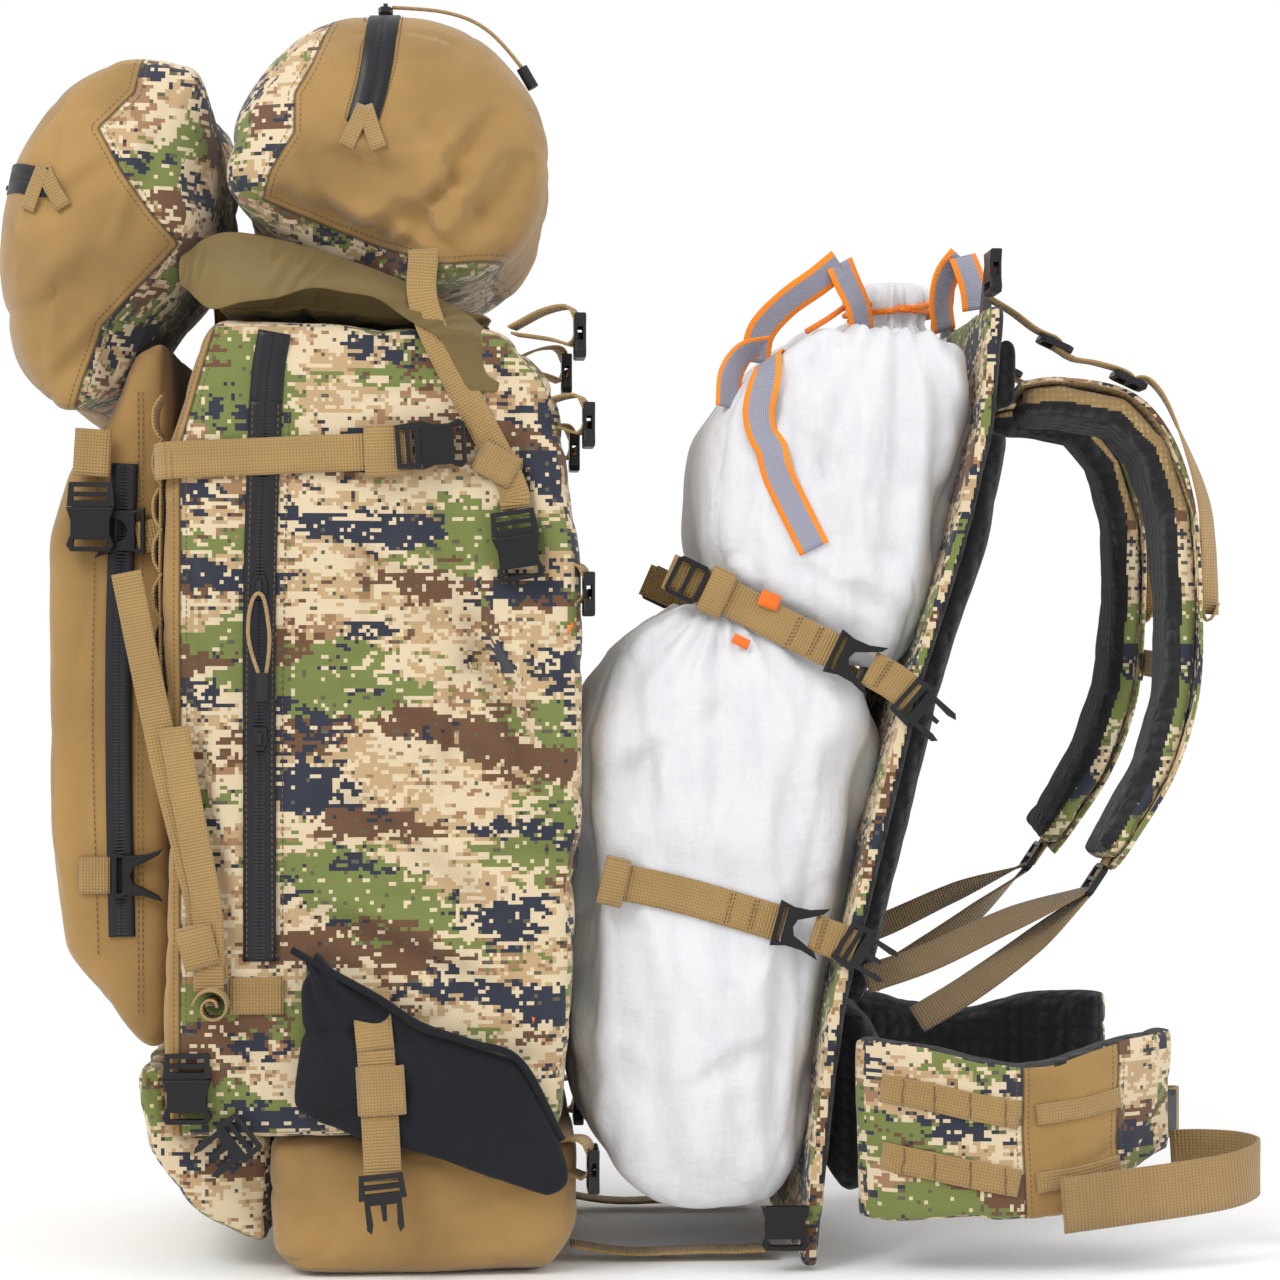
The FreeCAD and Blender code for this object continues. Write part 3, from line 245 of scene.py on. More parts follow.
SUBDIVIDED = ("SUBSURF", {"levels": 1, "render_levels": 1})


def through(mesh, modifiers):
    """The mesh after these modifiers."""
    holder = bpy.data.objects.new("holder", mesh)
    scene.collection.objects.link(holder)
    for kind, settings in modifiers:
        modifier = holder.modifiers.new(kind, kind)
        for key, value in settings.items():
            setattr(modifier, key, value)
    graph = bpy.context.evaluated_depsgraph_get()
    made = bpy.data.meshes.new_from_object(holder.evaluated_get(graph))
    bpy.data.objects.remove(holder)
    return made


def parts_of(node):
    """The separate closed solids of a CAD node, as new meshes, largest first."""
    work = bmesh.new()
    work.from_mesh(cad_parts[node].data)
    bmesh.ops.remove_doubles(work, verts=work.verts, dist=1e-5)
    left = set(work.verts)
    meshes = []
    for first in work.verts:
        if first not in left:
            continue
        left.discard(first)
        stack, group = [first], [first]
        while stack:
            for edge in stack.pop().link_edges:
                for other in edge.verts:
                    if other in left:
                        left.discard(other)
                        group.append(other)
                        stack.append(other)
        index = {vert: i for i, vert in enumerate(group)}
        faces = dict.fromkeys(face for vert in group for face in vert.link_faces)
        mesh = bpy.data.meshes.new(node)
        mesh.from_pydata([v.co[:] for v in group], [],
                         [[index[v] for v in face.verts] for face in faces])
        meshes.append(mesh)
    work.free()
    return sorted(meshes, key=lambda m: -np.prod(np.ptp(coords(m), axis=0)))


SWELL_FRAMES = 20


def swollen(mesh, pressure, cap):
    """The mesh as cloth under a little pressure, each point moving at most cap metres."""
    holder = bpy.data.objects.new("holder", mesh)
    scene.collection.objects.link(holder)
    cloth = holder.modifiers.new("Cloth", "CLOTH")
    cloth.settings.use_pressure = True
    cloth.settings.uniform_pressure_force = pressure
    cloth.settings.effector_weights.gravity = 0
    cloth.settings.quality = 4
    cloth.point_cache.frame_start = 1
    cloth.point_cache.frame_end = SWELL_FRAMES
    for step in range(1, SWELL_FRAMES + 1):
        scene.frame_set(step)
    graph = bpy.context.evaluated_depsgraph_get()
    made = bpy.data.meshes.new_from_object(holder.evaluated_get(graph))
    move = coords(made) - coords(mesh)
    long = np.linalg.norm(move, axis=1)[:, None]
    move *= cap / np.maximum(long + cap * 0.35, cap)
    set_coords(mesh, coords(mesh) + move)
    bpy.data.objects.remove(holder)
    bpy.data.meshes.remove(made)
    scene.frame_set(1)
    relax(mesh, 2)


def cloth_form(solids, voxel, rounds, shape, swell, warp):
    """A sewn form from CAD solids: evened, filled out as cloth, then creased by shape."""
    work = bmesh.new()
    for solid in solids:
        work.from_mesh(solid)
    joined = bpy.data.meshes.new("joined")
    work.to_mesh(joined)
    work.free()
    mesh = through(joined, [("REMESH", {"mode": "VOXEL", "voxel_size": voxel * MM})])
    relax(mesh, rounds)
    if swell:
        swollen(mesh, *swell)
    mesh = through(mesh, [SUBDIVIDED])
    places, normal = coords(mesh), facing(mesh)
    set_coords(mesh, places + normal * shape(places, normal)[:, None])
    if warp:
        set_coords(mesh, warp(coords(mesh)))
    box_uv(mesh)
    return mesh


def prism(outline, half):
    """A solid from a side-view outline of (x, z) in mm, as wide as half each way."""
    count = len(outline)
    verts = [(x * MM, side * half * MM, z * MM) for side in (-1, 1) for x, z in outline]
    faces = [tuple(range(count)), tuple(reversed(range(count, 2 * count)))]
    faces += [(i, i + count, (i + 1) % count + count, (i + 1) % count) for i in range(count)]
    mesh = bpy.data.meshes.new("prism")
    mesh.from_pydata(verts, [], faces)
    return mesh


def smooth_route(route, step=3.5):
    """Even points, in mm, on a smooth curve through a route."""
    points = [np.array(p, float) for p in route]
    if len(points) == 2:
        count = max(2, int(np.linalg.norm(points[1] - points[0]) / step))
        return np.array([points[0] + (points[1] - points[0]) * i / count
                         for i in range(count + 1)])
    ext = [2 * points[0] - points[1], *points, 2 * points[-1] - points[-2]]
    out = []
    for a, b, c, d in zip(ext, ext[1:], ext[2:], ext[3:]):
        count = max(2, int(np.linalg.norm(c - b) / step))
        for i in range(count):
            t = i / count
            out.append(0.5 * (2 * b + (c - a) * t + (2 * a - 5 * b + 4 * c - d) * t**2
                              + (3 * b - a - 3 * c + d) * t**3))
    out.append(points[-1])
    return np.array(out)


def unit(rows):
    return rows / np.linalg.norm(rows, axis=1)[:, None]


def ribbon_mesh(route, across, wide, thick=1.8, wave=0.0, seed=1):
    """Flat webbing along a route in mm; across is its width's direction, or one for each point."""
    line = smooth_route(route)
    across = np.array(across, float)
    if across.ndim == 2:
        stops = np.linspace(0, 1, len(across))
        spots = np.linspace(0, 1, len(line))
        across = np.stack([np.interp(spots, stops, across[:, k]) for k in range(3)], 1)
    else:
        across = np.tile(across, (len(line), 1))
    tangent = unit(np.gradient(line, axis=0))
    normal = unit(np.cross(tangent, across))
    across = np.cross(normal, tangent)
    run = np.r_[0, np.cumsum(np.linalg.norm(np.diff(line, axis=0), axis=1))]
    if wave:
        sway = drift(np.stack([run, run * 0, run * 0], 1), 23.0, seed)
        line = line + normal * (sway * wave)[:, None]
    half, deep = wide / 2, thick / 2
    upper = [(-half + 0.5, deep), (-half * 0.5, deep), (0, deep), (half * 0.5, deep),
             (half - 0.5, deep)]
    profile = [(-half, 0), *upper, (half, 0), *((s, -h) for s, h in reversed(upper))]
    size = len(profile)
    verts = [line[i] + across[i] * s + normal[i] * h
             for i in range(len(line)) for s, h in profile]
    faces, uvs = [], []
    for i in range(len(line) - 1):
        for j in range(size):
            k = (j + 1) % size
            faces.append((i * size + j, i * size + k, (i + 1) * size + k, (i + 1) * size + j))
            uvs += [(run[i], profile[j][0]), (run[i], profile[k][0]),
                    (run[i + 1], profile[k][0]), (run[i + 1], profile[j][0])]
    last = (len(line) - 1) * size
    faces += [tuple(reversed(range(size))), tuple(range(last, last + size))]
    uvs += [(0, profile[j][0]) for j in reversed(range(size))]
    uvs += [(run[-1], profile[j][0]) for j in range(size)]
    mesh = bpy.data.meshes.new("ribbon")
    mesh.from_pydata([tuple(v * MM) for v in np.array(verts)], [], faces)
    cloth_layer(mesh, np.array(uvs) * MM)
    return mesh


def merged(meshes):
    """One mesh from several, with their cloth coordinates."""
    work = bmesh.new()
    for mesh in meshes:
        work.from_mesh(mesh)
    made = bpy.data.meshes.new("merged")
    work.to_mesh(made)
    work.free()
    return made


def mirrored(mesh):
    """A mesh's twin on the other side of the pack."""
    twin = mesh.copy()
    places = coords(twin)
    places[:, 1] *= -1
    set_coords(twin, places)
    twin.flip_normals()
    return twin


TUBE_SIDES = 8
OFF_AXIS = (0.13, 0.31, 0.94)  # a direction that no cord runs along


def tube_mesh(route, radius):
    """A round cord or binding along a route in mm."""
    line, sides = smooth_route(route), TUBE_SIDES
    tangent = unit(np.gradient(line, axis=0))
    side = unit(np.cross(tangent, OFF_AXIS))
    up = np.cross(side, tangent)
    verts, faces = [], []
    for i, place in enumerate(line):
        for j in range(sides):
            turn = 2 * math.pi * j / sides
            verts.append(place + (side[i] * math.cos(turn) + up[i] * math.sin(turn)) * radius)
            if i < len(line) - 1:
                k = (j + 1) % sides
                faces.append((i * sides + j, i * sides + k, (i + 1) * sides + k,
                              (i + 1) * sides + j))
    last = (len(line) - 1) * sides
    faces += [tuple(reversed(range(sides))), tuple(range(last, last + sides))]
    mesh = bpy.data.meshes.new("tube")
    mesh.from_pydata([tuple(v * MM) for v in verts], [], faces)
    box_uv(mesh)
    return mesh


def stitch_mesh(route, outward, pitch=4.2, long=2.9, thick=0.8):
    """A row of thread stitches along a route in mm, standing a little out of the cloth."""
    line = smooth_route(route, pitch)
    outward = np.array(outward, float)
    pieces = []
    for a, b in zip(line[:-1], line[1:]):
        run = b - a
        far = np.linalg.norm(run)
        if far < 0.5:
            continue
        run /= far
        mid = (a + b) / 2 + outward * thick * 0.25
        tip = run * min(long, far * 0.7) / 2
        side = np.cross(run, outward) * thick / 2
        top = outward * thick / 2
        low, high = mid - tip * 0.6, mid + tip * 0.6
        pieces.append([mid - tip, low + side, low + top, low - side,
                       high + side, high + top, high - side, mid + tip])
    verts = [tuple(v * MM) for ring in pieces for v in ring]
    shape = [(0, 1, 2), (0, 2, 3), (1, 4, 5, 2), (2, 5, 6, 3), (7, 5, 4), (7, 6, 5)]
    faces = [tuple(8 * i + j for j in face) for i in range(len(pieces)) for face in shape]
    mesh = bpy.data.meshes.new("stitches")
    mesh.from_pydata(verts, [], faces)
    box_uv(mesh)
    return mesh


def tree_of(piece):
    """A piece's surface, to lay other pieces on."""
    mesh = piece.data
    return BVHTree.FromPolygons([tuple(v.co) for v in mesh.vertices],
                                [tuple(p.vertices) for p in mesh.polygons])

# Materials -------------------------------------------------------------------------------------

CREAM = (0.62, 0.505, 0.335, 1)
TAN = (0.45, 0.31, 0.165, 1)
OLIVE = (0.155, 0.185, 0.048, 1)
EARTH = (0.125, 0.060, 0.029, 1)
NAVY = (0.022, 0.026, 0.042, 1)
COYOTE = (0.325, 0.190, 0.060, 1)
WEB = (0.385, 0.240, 0.085, 1)
BLACK = (0.006, 0.006, 0.007, 1)


class Look:
    """A procedural material being wired."""

    def __init__(self, name, rough=0.85, sheen=0.0, specular=0.35):
        self.material = bpy.data.materials.new(name)
        self.material.use_nodes = True
        self.tree = self.material.node_tree
        self.shader = self.tree.nodes["Principled BSDF"]
        self.shader.inputs["Roughness"].default_value = rough
        self.shader.inputs["Sheen Weight"].default_value = sheen
        self.shader.inputs["Specular IOR Level"].default_value = specular

    def node(self, kind, out=0, settings=None, **inputs):
        made = self.tree.nodes.new(kind)
        for key, value in (settings or {}).items():
            setattr(made, key, value)
        for key, value in inputs.items():
            name = key.replace("_", " ") if not key.startswith("i") else int(key[1:])
            self.feed(made.inputs[name], value)
        return made.outputs[out]

    def feed(self, socket, value):
        if isinstance(value, bpy.types.NodeSocket):
            self.tree.links.new(value, socket)
        else:
            socket.default_value = value

    def math(self, kind, a, b=0.0, c=0.0):
        return self.node("ShaderNodeMath", settings={"operation": kind}, i0=a, i1=b, i2=c)

    def times(self, a, b):
        return self.math("MULTIPLY", a, b)

    def plus(self, a, b):
        return self.math("ADD", a, b)

    def minus(self, a, b):
        return self.math("SUBTRACT", a, b)

    def above(self, a, b):
        return self.math("GREATER_THAN", a, b)

    def below(self, a, b):
        return self.math("LESS_THAN", a, b)

    def size(self, a):
        return self.math("ABSOLUTE", a)

    def spot(self):
        return self.node("ShaderNodeTexCoord", out=3)

    def move(self, vector, scale=(1, 1, 1), turn=0.0, offset=(0, 0, 0)):
        return self.node("ShaderNodeMapping", Vector=vector, Scale=scale,
                         Rotation=(0, 0, math.radians(turn)), Location=offset)

    def noise(self, vector, scale, detail=2.0, rough=0.5):
        return self.node("ShaderNodeTexNoise", Vector=vector, Scale=scale, Detail=detail,
                         Roughness=rough)

    def mix(self, share, a, b):
        made = self.tree.nodes.new("ShaderNodeMix")
        made.data_type = "RGBA"
        self.feed(made.inputs[0], share)
        self.feed(made.inputs[6], a)
        self.feed(made.inputs[7], b)
        return made.outputs[2]

    def step(self, value, low, high):
        """Value as a share from 0 at low to 1 at high."""
        made = self.tree.nodes.new("ShaderNodeMapRange")
        self.feed(made.inputs[0], value)
        made.inputs[1].default_value, made.inputs[2].default_value = low, high
        return made.outputs[0]

    def cloth(self):
        return self.node("ShaderNodeUVMap", settings={"uv_map": "cloth"})

    def split(self, vector):
        made = self.tree.nodes.new("ShaderNodeSeparateXYZ")
        self.feed(made.inputs[0], vector)
        return made.outputs[0], made.outputs[1], made.outputs[2]

    def wave(self, value, period):
        return self.math("SINE", self.times(value, 2 * math.pi / period))

    def named(self, name):
        return self.node("ShaderNodeAttribute", out=2, settings={"attribute_name": name})

    def bump(self, height, strength, distance=0.001):
        normal = self.node("ShaderNodeBump", Strength=strength, Distance=distance, Height=height)
        self.feed(self.shader.inputs["Normal"], normal)

    def colour(self, value):
        self.feed(self.shader.inputs["Base Color"], value)

    def rough(self, value):
        self.feed(self.shader.inputs["Roughness"], value)


def toned(paint, share, rise=0.0):
    return tuple(min(1, c * share + rise) for c in paint[:3]) + (1,)


GRAIN = 0.0025  # the printed squares' size in metres
BROWN_PRINT = (0.30, 0.17, 0.085, 1)
SHADOW_PRINT = (0.10, 0.09, 0.055, 1)
PATCHES = (  # paint, scale, offset, level above which it shows, looseness of its edge, detail
    (TAN, 27, (3.1, 0.4, 0), 0.50, 1.5, 3), (BROWN_PRINT, 24, (9.3, 2.2, 0), 0.62, 1.4, 1.5),
    (OLIVE, 10, (5.7, 8.1, 0), 0.545, 0.62, 1.5), (EARTH, 12, (1.9, 4.6, 0), 0.585, 0.7, 1.5),
    (NAVY, 13, (7.7, 6.3, 0), 0.585, 0.75, 1.5),
)


def camo_colour(look, cloth):
    """A generic square-grained field pattern: wind-blown patches that break up at their edges."""
    grid = look.node("ShaderNodeVectorMath", settings={"operation": "SNAP"}, i0=cloth,
                     i1=(GRAIN, GRAIN, GRAIN))
    blown = look.move(grid, scale=(0.8, 1.9, 1.0), turn=32)
    clump = look.noise(look.move(grid, scale=(0.6, 1.25, 1)), 165, 0.0)
    grain = look.node("ShaderNodeTexWhiteNoise", Vector=grid)
    edge = look.plus(look.times(look.minus(clump, 0.5), 0.40),
                     look.times(look.minus(grain, 0.5), 0.07))
    colour = CREAM
    for paint, scale, offset, level, loose, detail in PATCHES:
        field = look.noise(look.move(blown, offset=offset), scale, detail)
        shown = look.math("MULTIPLY_ADD", edge, loose, field)
        colour = look.mix(look.above(shown, level), colour, paint)
    speck = look.noise(look.move(grid, scale=(0.7, 1.2, 1), offset=(4, 4, 0)), 210, 0.0)
    colour = look.mix(look.above(speck, 0.72), colour, CREAM)
    return look.mix(look.below(speck, 0.262), colour, SHADOW_PRINT)


def plain_colour(look, cloth, base, shade=0.80, fade=1.12):
    """A dyed cloth's colour, a little uneven, with single threads that vary."""
    dark, light = toned(base, shade), toned(base, fade)
    soft = look.noise(cloth, 11, 3)
    thread = look.noise(look.move(cloth, scale=(1, 0.12, 1)), 1500, 0)
    colour = look.mix(look.step(soft, 0.35, 0.65), dark, light)
    return look.mix(look.times(look.step(thread, 0.3, 0.7), 0.22), colour, dark)


def weave(look, cloth, size):
    """The height of crossed threads, size metres apart."""
    u, v, _ = look.split(cloth)
    return look.times(look.wave(u, size), look.wave(v, size))


SEAM_ROW, SEAM_PITCH = 4.2, 3.6  # a stitch row's distance from its join, and its pitch, in mm


def seams(look, colour, height):
    """Darkens the joins between panels and adds a row of stitches beside them."""
    gap, run = look.named("panel"), look.named("run")
    away = look.size(gap)
    join = look.minus(1.0, look.step(away, 0.5, 1.5))
    colour = look.mix(look.times(join, 0.75), colour, (0.03, 0.018, 0.008, 1))
    row = look.minus(1.0, look.step(look.size(look.minus(away, SEAM_ROW)), 0.3, 0.7))
    dash = look.below(look.math("FRACT", look.math("DIVIDE", run, SEAM_PITCH)), 0.66)
    thread = look.times(row, dash)
    colour = look.mix(look.times(thread, 0.7), colour, (0.11, 0.062, 0.022, 1))
    height = look.minus(height, look.times(join, 3.0))
    return colour, look.minus(height, thread)


def fabric(name, paint, rough=0.88, sheen=0.25, panels=None, size=0.0016, strength=0.25):
    """Woven cloth. panels is the paint where the panel attribute is positive."""
    look = Look(name, rough, sheen)
    cloth = look.cloth()
    colour = camo_colour(look, cloth) if paint == "camo" else plain_colour(look, cloth, paint)
    height = look.plus(weave(look, cloth, size), look.noise(cloth, 260, 3))
    if panels:
        other = camo_colour(look, cloth) if panels == "camo" else plain_colour(look, cloth, panels)
        inside = look.above(look.named("panel"), 0.0)
        colour = look.mix(inside, colour, other)
        colour, height = seams(look, colour, height)
    look.colour(colour)
    look.bump(height, strength)
    return look.material


def webbing(name, base, rib=0.0021):
    """Woven strap with cross ribs and long cords, with painted shade in its grooves."""
    look = Look(name, 0.8, 0.25)
    cloth = look.cloth()
    u, v, _ = look.split(cloth)
    shift = look.times(look.math("SIGN", look.wave(v, 0.0042)), rib * 0.5)
    ribs = look.wave(look.plus(u, shift), rib)
    cords = look.wave(v, 0.0021)
    height = look.plus(ribs, look.times(cords, 0.6))
    dark = toned(base, 0.55)
    colour = plain_colour(look, cloth, base, 0.86, 1.1)
    # Painted shade: the colour darkens where the ribs and cords are low, in the grooves.
    groove_shade = look.minus(1.0, look.step(height, -1.4, 0.2))
    look.colour(look.mix(look.times(groove_shade, 0.55), colour, dark))
    look.bump(height, 0.5)
    return look.material


COIL_HALF, TAPE_EDGE = 0.0034, 0.0088  # of a zip, in metres from its middle


def zip_look():
    """Coated zip tape: a matt film over the coil, whose teeth show as fine ridges."""
    look = Look("zip_tape", 0.42, 0.0, 0.34)
    u, v, _ = look.split(look.cloth())
    off = look.size(v)
    coil = look.below(off, COIL_HALF)
    teeth = look.times(coil, look.wave(u, 0.0023))
    slit = look.below(off, 0.0005)
    edge = look.above(off, TAPE_EDGE)
    grain = look.noise(look.cloth(), 900, 2)
    colour = look.mix(coil, (0.008, 0.008, 0.011, 1), (0.015, 0.016, 0.021, 1))
    colour = look.mix(slit, colour, (0.002, 0.002, 0.002, 1))
    look.colour(look.mix(look.times(edge, 0.6), colour, (0.006, 0.006, 0.007, 1)))
    look.rough(look.math("MULTIPLY_ADD", grain, 0.25, 0.30))
    look.bump(look.plus(look.times(coil, 2.5), teeth), 0.6)
    return look.material


def spacer_look(name, base, cell, strength):
    """Spacer mesh: rows of soft domes with fine holes between them, and a painted highlight on the
    dome tops.
    """
    look = Look(name, 0.92, 0.2, 0.25)
    cloth = look.cloth()
    spot = look.spot()
    dome = look.tree.nodes.new("ShaderNodeTexVoronoi")
    look.feed(dome.inputs["Vector"], spot)
    dome.inputs["Scale"].default_value = 1 / cell
    dome.inputs["Randomness"].default_value = 0.22
    round_top = look.minus(1.0, look.step(dome.outputs["Distance"], 0.15, 0.55))
    holes = weave(look, cloth, 0.0016)
    # Painted highlight: the raised dome tops are painted lighter than the base colour.
    light = toned(base, 2.1, 0.004)
    look.colour(look.mix(look.times(round_top, 0.55), base, light))
    look.bump(look.plus(look.times(round_top, 3.0),
                        look.times(holes, 0.45)), strength)
    return look.material


def cotton_look():
    """Thin white cotton with fine creases and a faint painted grey shade in its folds."""
    look = Look("white_cotton", 0.9, 0.15, 0.2)
    cloth = look.cloth()
    fine = look.noise(look.move(cloth, scale=(1.5, 0.4, 1), turn=8), 34, 5, 0.6)
    small = look.noise(look.move(cloth, scale=(0.5, 1.0, 1), turn=35), 130, 4, 0.6)
    height = look.plus(look.times(fine, 3.2), look.times(small, 1.4))
    height = look.plus(height, look.times(weave(look, cloth, 0.0012), 0.06))
    # Painted shade: the cloth is painted greyer where the crease height is low.
    fold_shade = look.step(fine, 0.28, 0.55)
    look.colour(look.mix(fold_shade, (0.585, 0.59, 0.62, 1), (0.665, 0.665, 0.685, 1)))
    look.bump(height, 0.42, 0.0020)
    return look.material


def plastic_look(name, base=BLACK, rough=0.42):
    """Moulded plastic with a fine spark texture and a painted highlight on its sharp edges."""
    look = Look(name, rough, 0.0, 0.3)
    spot = look.spot()
    grain = look.noise(spot, 1800, 2)
    smear = look.noise(spot, 60, 3)
    # Painted highlight: convex edges, found by pointiness, are painted lighter than the plastic.
    edge_highlight = look.step(look.node("ShaderNodeNewGeometry", out=7), 0.52, 0.62)
    highlight_tone = toned(base, 2, 0.005)
    look.colour(look.mix(look.times(edge_highlight, 0.6), base, highlight_tone))
    look.rough(look.math("MULTIPLY_ADD", smear, 0.22, rough - 0.11))
    look.bump(grain, 0.10, 0.0004)
    return look.material


BAND_HALF = 0.0072


def signal_look():
    """Orange webbing with a grey reflective band down its middle."""
    look = Look("signal_webbing", 0.55, 0.1)
    cloth = look.cloth()
    u, v, _ = look.split(cloth)
    band = look.below(look.size(v), BAND_HALF)
    cells = look.times(look.wave(look.plus(u, v), 0.0026),
                      look.wave(look.minus(u, v), 0.0026))
    orange = plain_colour(look, cloth, (0.95, 0.25, 0.012, 1), 0.82, 1.1)
    grey = look.mix(look.step(cells, -0.4, 0.5), (0.20, 0.20, 0.26, 1), (0.34, 0.34, 0.41, 1))
    look.colour(look.mix(band, orange, grey))
    look.rough(look.math("MULTIPLY_ADD", band, -0.2, 0.72))
    look.bump(look.plus(look.wave(u, 0.0015), look.times(cells, band)), 0.25)
    return look.material


def thread_look(name, base):
    """Twisted sewing thread."""
    look = Look(name, 0.7, 0.2)
    twist = look.noise(look.spot(), 2600, 1)
    dark = toned(base, 0.6)
    look.colour(look.mix(twist, dark, base))
    look.bump(twist, 0.3, 0.0003)
    return look.material


def cord_look(name, base):
    """Braided cord."""
    look = Look(name, 0.75, 0.2)
    braid = look.noise(look.spot(), 1400, 1)
    dark = toned(base, 0.5)
    look.colour(look.mix(look.step(braid, 0.35, 0.6), dark, base))
    look.bump(braid, 0.6, 0.0005)
    return look.material


CAMO = fabric("camo", "camo", 0.86, 0.2)
CAMO_BAG = fabric("camo_bag", "camo", 0.86, 0.2, panels=COYOTE)
BROWN = fabric("brown_cloth", COYOTE, 0.80, 0.22, size=0.0013)
BROWN_PANELS = fabric("brown_panels", COYOTE, 0.80, 0.22, panels="camo", size=0.0013)
OLIVE_CLOTH = fabric("olive_cloth", (0.160, 0.108, 0.032, 1), 0.62, 0.1, strength=0.15)
STRETCH = fabric("black_stretch", (0.007, 0.0075, 0.011, 1), 0.9, 0.04, strength=0.12)
FRAME_CLOTH = fabric("frame_cloth", "camo", 0.9, 0.15)
ORANGE = fabric("orange_cloth", (0.90, 0.16, 0.01, 1), 0.7, 0.2)
TAN_MESH = spacer_look("tan_mesh", (0.30, 0.20, 0.085, 1), 0.0042, 0.6)
MESH = spacer_look("black_mesh", (0.0085, 0.0085, 0.0095, 1), 0.0105, 1.0)
WEBBING = webbing("webbing", WEB)
GREY_WEBBING = webbing("harness_webbing_look", (0.205, 0.138, 0.068, 1))
BELT_WEBBING = webbing("belt_webbing", (0.34, 0.215, 0.08, 1), 0.0026)
ZIP = zip_look()
COTTON = cotton_look()
PLASTIC = plastic_look("buckle_plastic")
SLIDER = plastic_look("zip_metal", (0.011, 0.011, 0.013, 1), 0.34)
SOFT_PLASTIC = plastic_look("soft_plastic", (0.009, 0.009, 0.010, 1), 0.6)
STAY = plastic_look("stay_metal", (0.045, 0.045, 0.05, 1), 0.5)
SIGNAL = signal_look()
THREAD = thread_look("brown_thread", (0.15, 0.088, 0.034, 1))
PULL = cord_look("pull_cord", (0.40, 0.26, 0.11, 1))
ORANGE_CORD = cord_look("orange_cord", (0.95, 0.22, 0.01, 1))
for piece in (side_pull, lid_pull):
    piece.data.materials.append(PULL)

HARD = (
    (PLASTIC, """compression_sockets split_bar_hooks lid_front_sockets strap_sockets strap_plugs
        ladder_locks compression_plug_near compression_plug_far lid_front_plugs sternum_sliders
        sternum_socket sternum_plug belt_socket belt_plug"""),
    (SLIDER, """lid_top_slider lid_front_slider side_slider_upper_near side_slider_upper_far
        side_slider_lower_near side_slider_lower_far front_slider_near front_slider_far"""),
    (SOFT_PLASTIC, "side_pull_end lid_pull_end"),
    (STAY, "frame_stays"),
)
for look, names in HARD:
    for name in names.split():
        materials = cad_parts[name].data.materials
        materials.clear()
        materials.append(look)

# Pieces ----------------------------------------------------------------------------------------


def on_surface(tree, route, lift, step=5):
    """A route's even points in mm, moved to lift mm off the nearest surface, and its normals."""
    points, normals = [], []
    for point in smooth_route(route, step):
        hit, normal, _, _ = tree.find_nearest(Vector(point * MM))
        points.append(np.array(hit) / MM + np.array(normal) * lift)
        normals.append(np.array(normal))
    return np.array(points), np.array(normals)


def surface_ribbon(tree, route, wide, thick, lift):
    """Webbing or tape that follows a surface under a route in mm."""
    lines = on_surface(tree, route, lift)
    for _ in range(3):
        for line in lines:
            line[1:-1] = (line[:-2] + 2 * line[1:-1] + line[2:]) / 4
    points, normals = lines
    across = np.cross(normals, np.gradient(points, axis=0))
    return ribbon_mesh(points[::2], across[::2], wide, thick)


def both(name, meshes, body, look, slot, replaces=(), far_body=None, far_replaces=()):
    """Near-side meshes and their twins: one piece on one body, or one on each side's body."""
    meshes = meshes if isinstance(meshes, list) else [meshes]
    twins = [mirrored(mesh) for mesh in meshes]
    if far_body is None:
        finished(name, merged(meshes + twins), body, look, slot, replaces)
    else:
        finished(f"{name}_near", merged(meshes), body, look, slot, replaces)
        finished(f"{name}_far", merged(twins), far_body, look, slot, far_replaces)


def soft_piece(name, nodes, body, look, slot, voxel, rounds, shape, swell=None,
               solids=None, panel=None, warp=None):
    """A cloth piece made from CAD nodes. panel is a seam's line of (x, z)."""
    solids = solids or [solid for node in nodes for solid in parts_of(node)]
    mesh = cloth_form(solids, voxel, rounds, shape, swell, warp)
    if panel is not None:
        places = coords(mesh) / MM
        gap, run = line_distance(places[:, [0, 2]], panel)
        attribute(mesh, "panel", gap)
        attribute(mesh, "run", run)
    piece = finished(name, mesh, body, look, slot, nodes)
    return piece


def second_look(piece, look, chosen):
    """Gives the faces that chosen(centres in mm, normals) picks another material."""
    faces = piece.data.polygons
    picked = chosen(read(faces, "center", 3, np.float32) / MM,
                    read(faces, "normal", 3, np.float32))
    piece.data.materials.append(look)
    index = np.where(picked, len(piece.data.materials) - 1, read(faces, "material_index"))
    faces.foreach_set("material_index", index.astype(np.int32))


def held_in(places, disp, normal, lines, limit, rise, reach=26, flat=15):
    """Caps how far a side stands out, least beside the straps and zips that press on it."""
    spots = places[:, [0, 2]] / MM
    near = np.full(len(places), 1e9)
    for line in lines:
        near = np.minimum(near, np.abs(line_distance(spots, line)[0]))
    allow = limit + rise * (1 - np.exp(-((np.maximum(near - flat, 0) / reach) ** 2)))
    out = np.abs(places[:, 1]) / MM + disp / MM * np.abs(normal[:, 1])
    over = np.maximum(out - allow, 0) * MM
    return disp - over / np.maximum(np.abs(normal[:, 1]), 0.3) * (np.abs(normal[:, 1]) > 0.2)


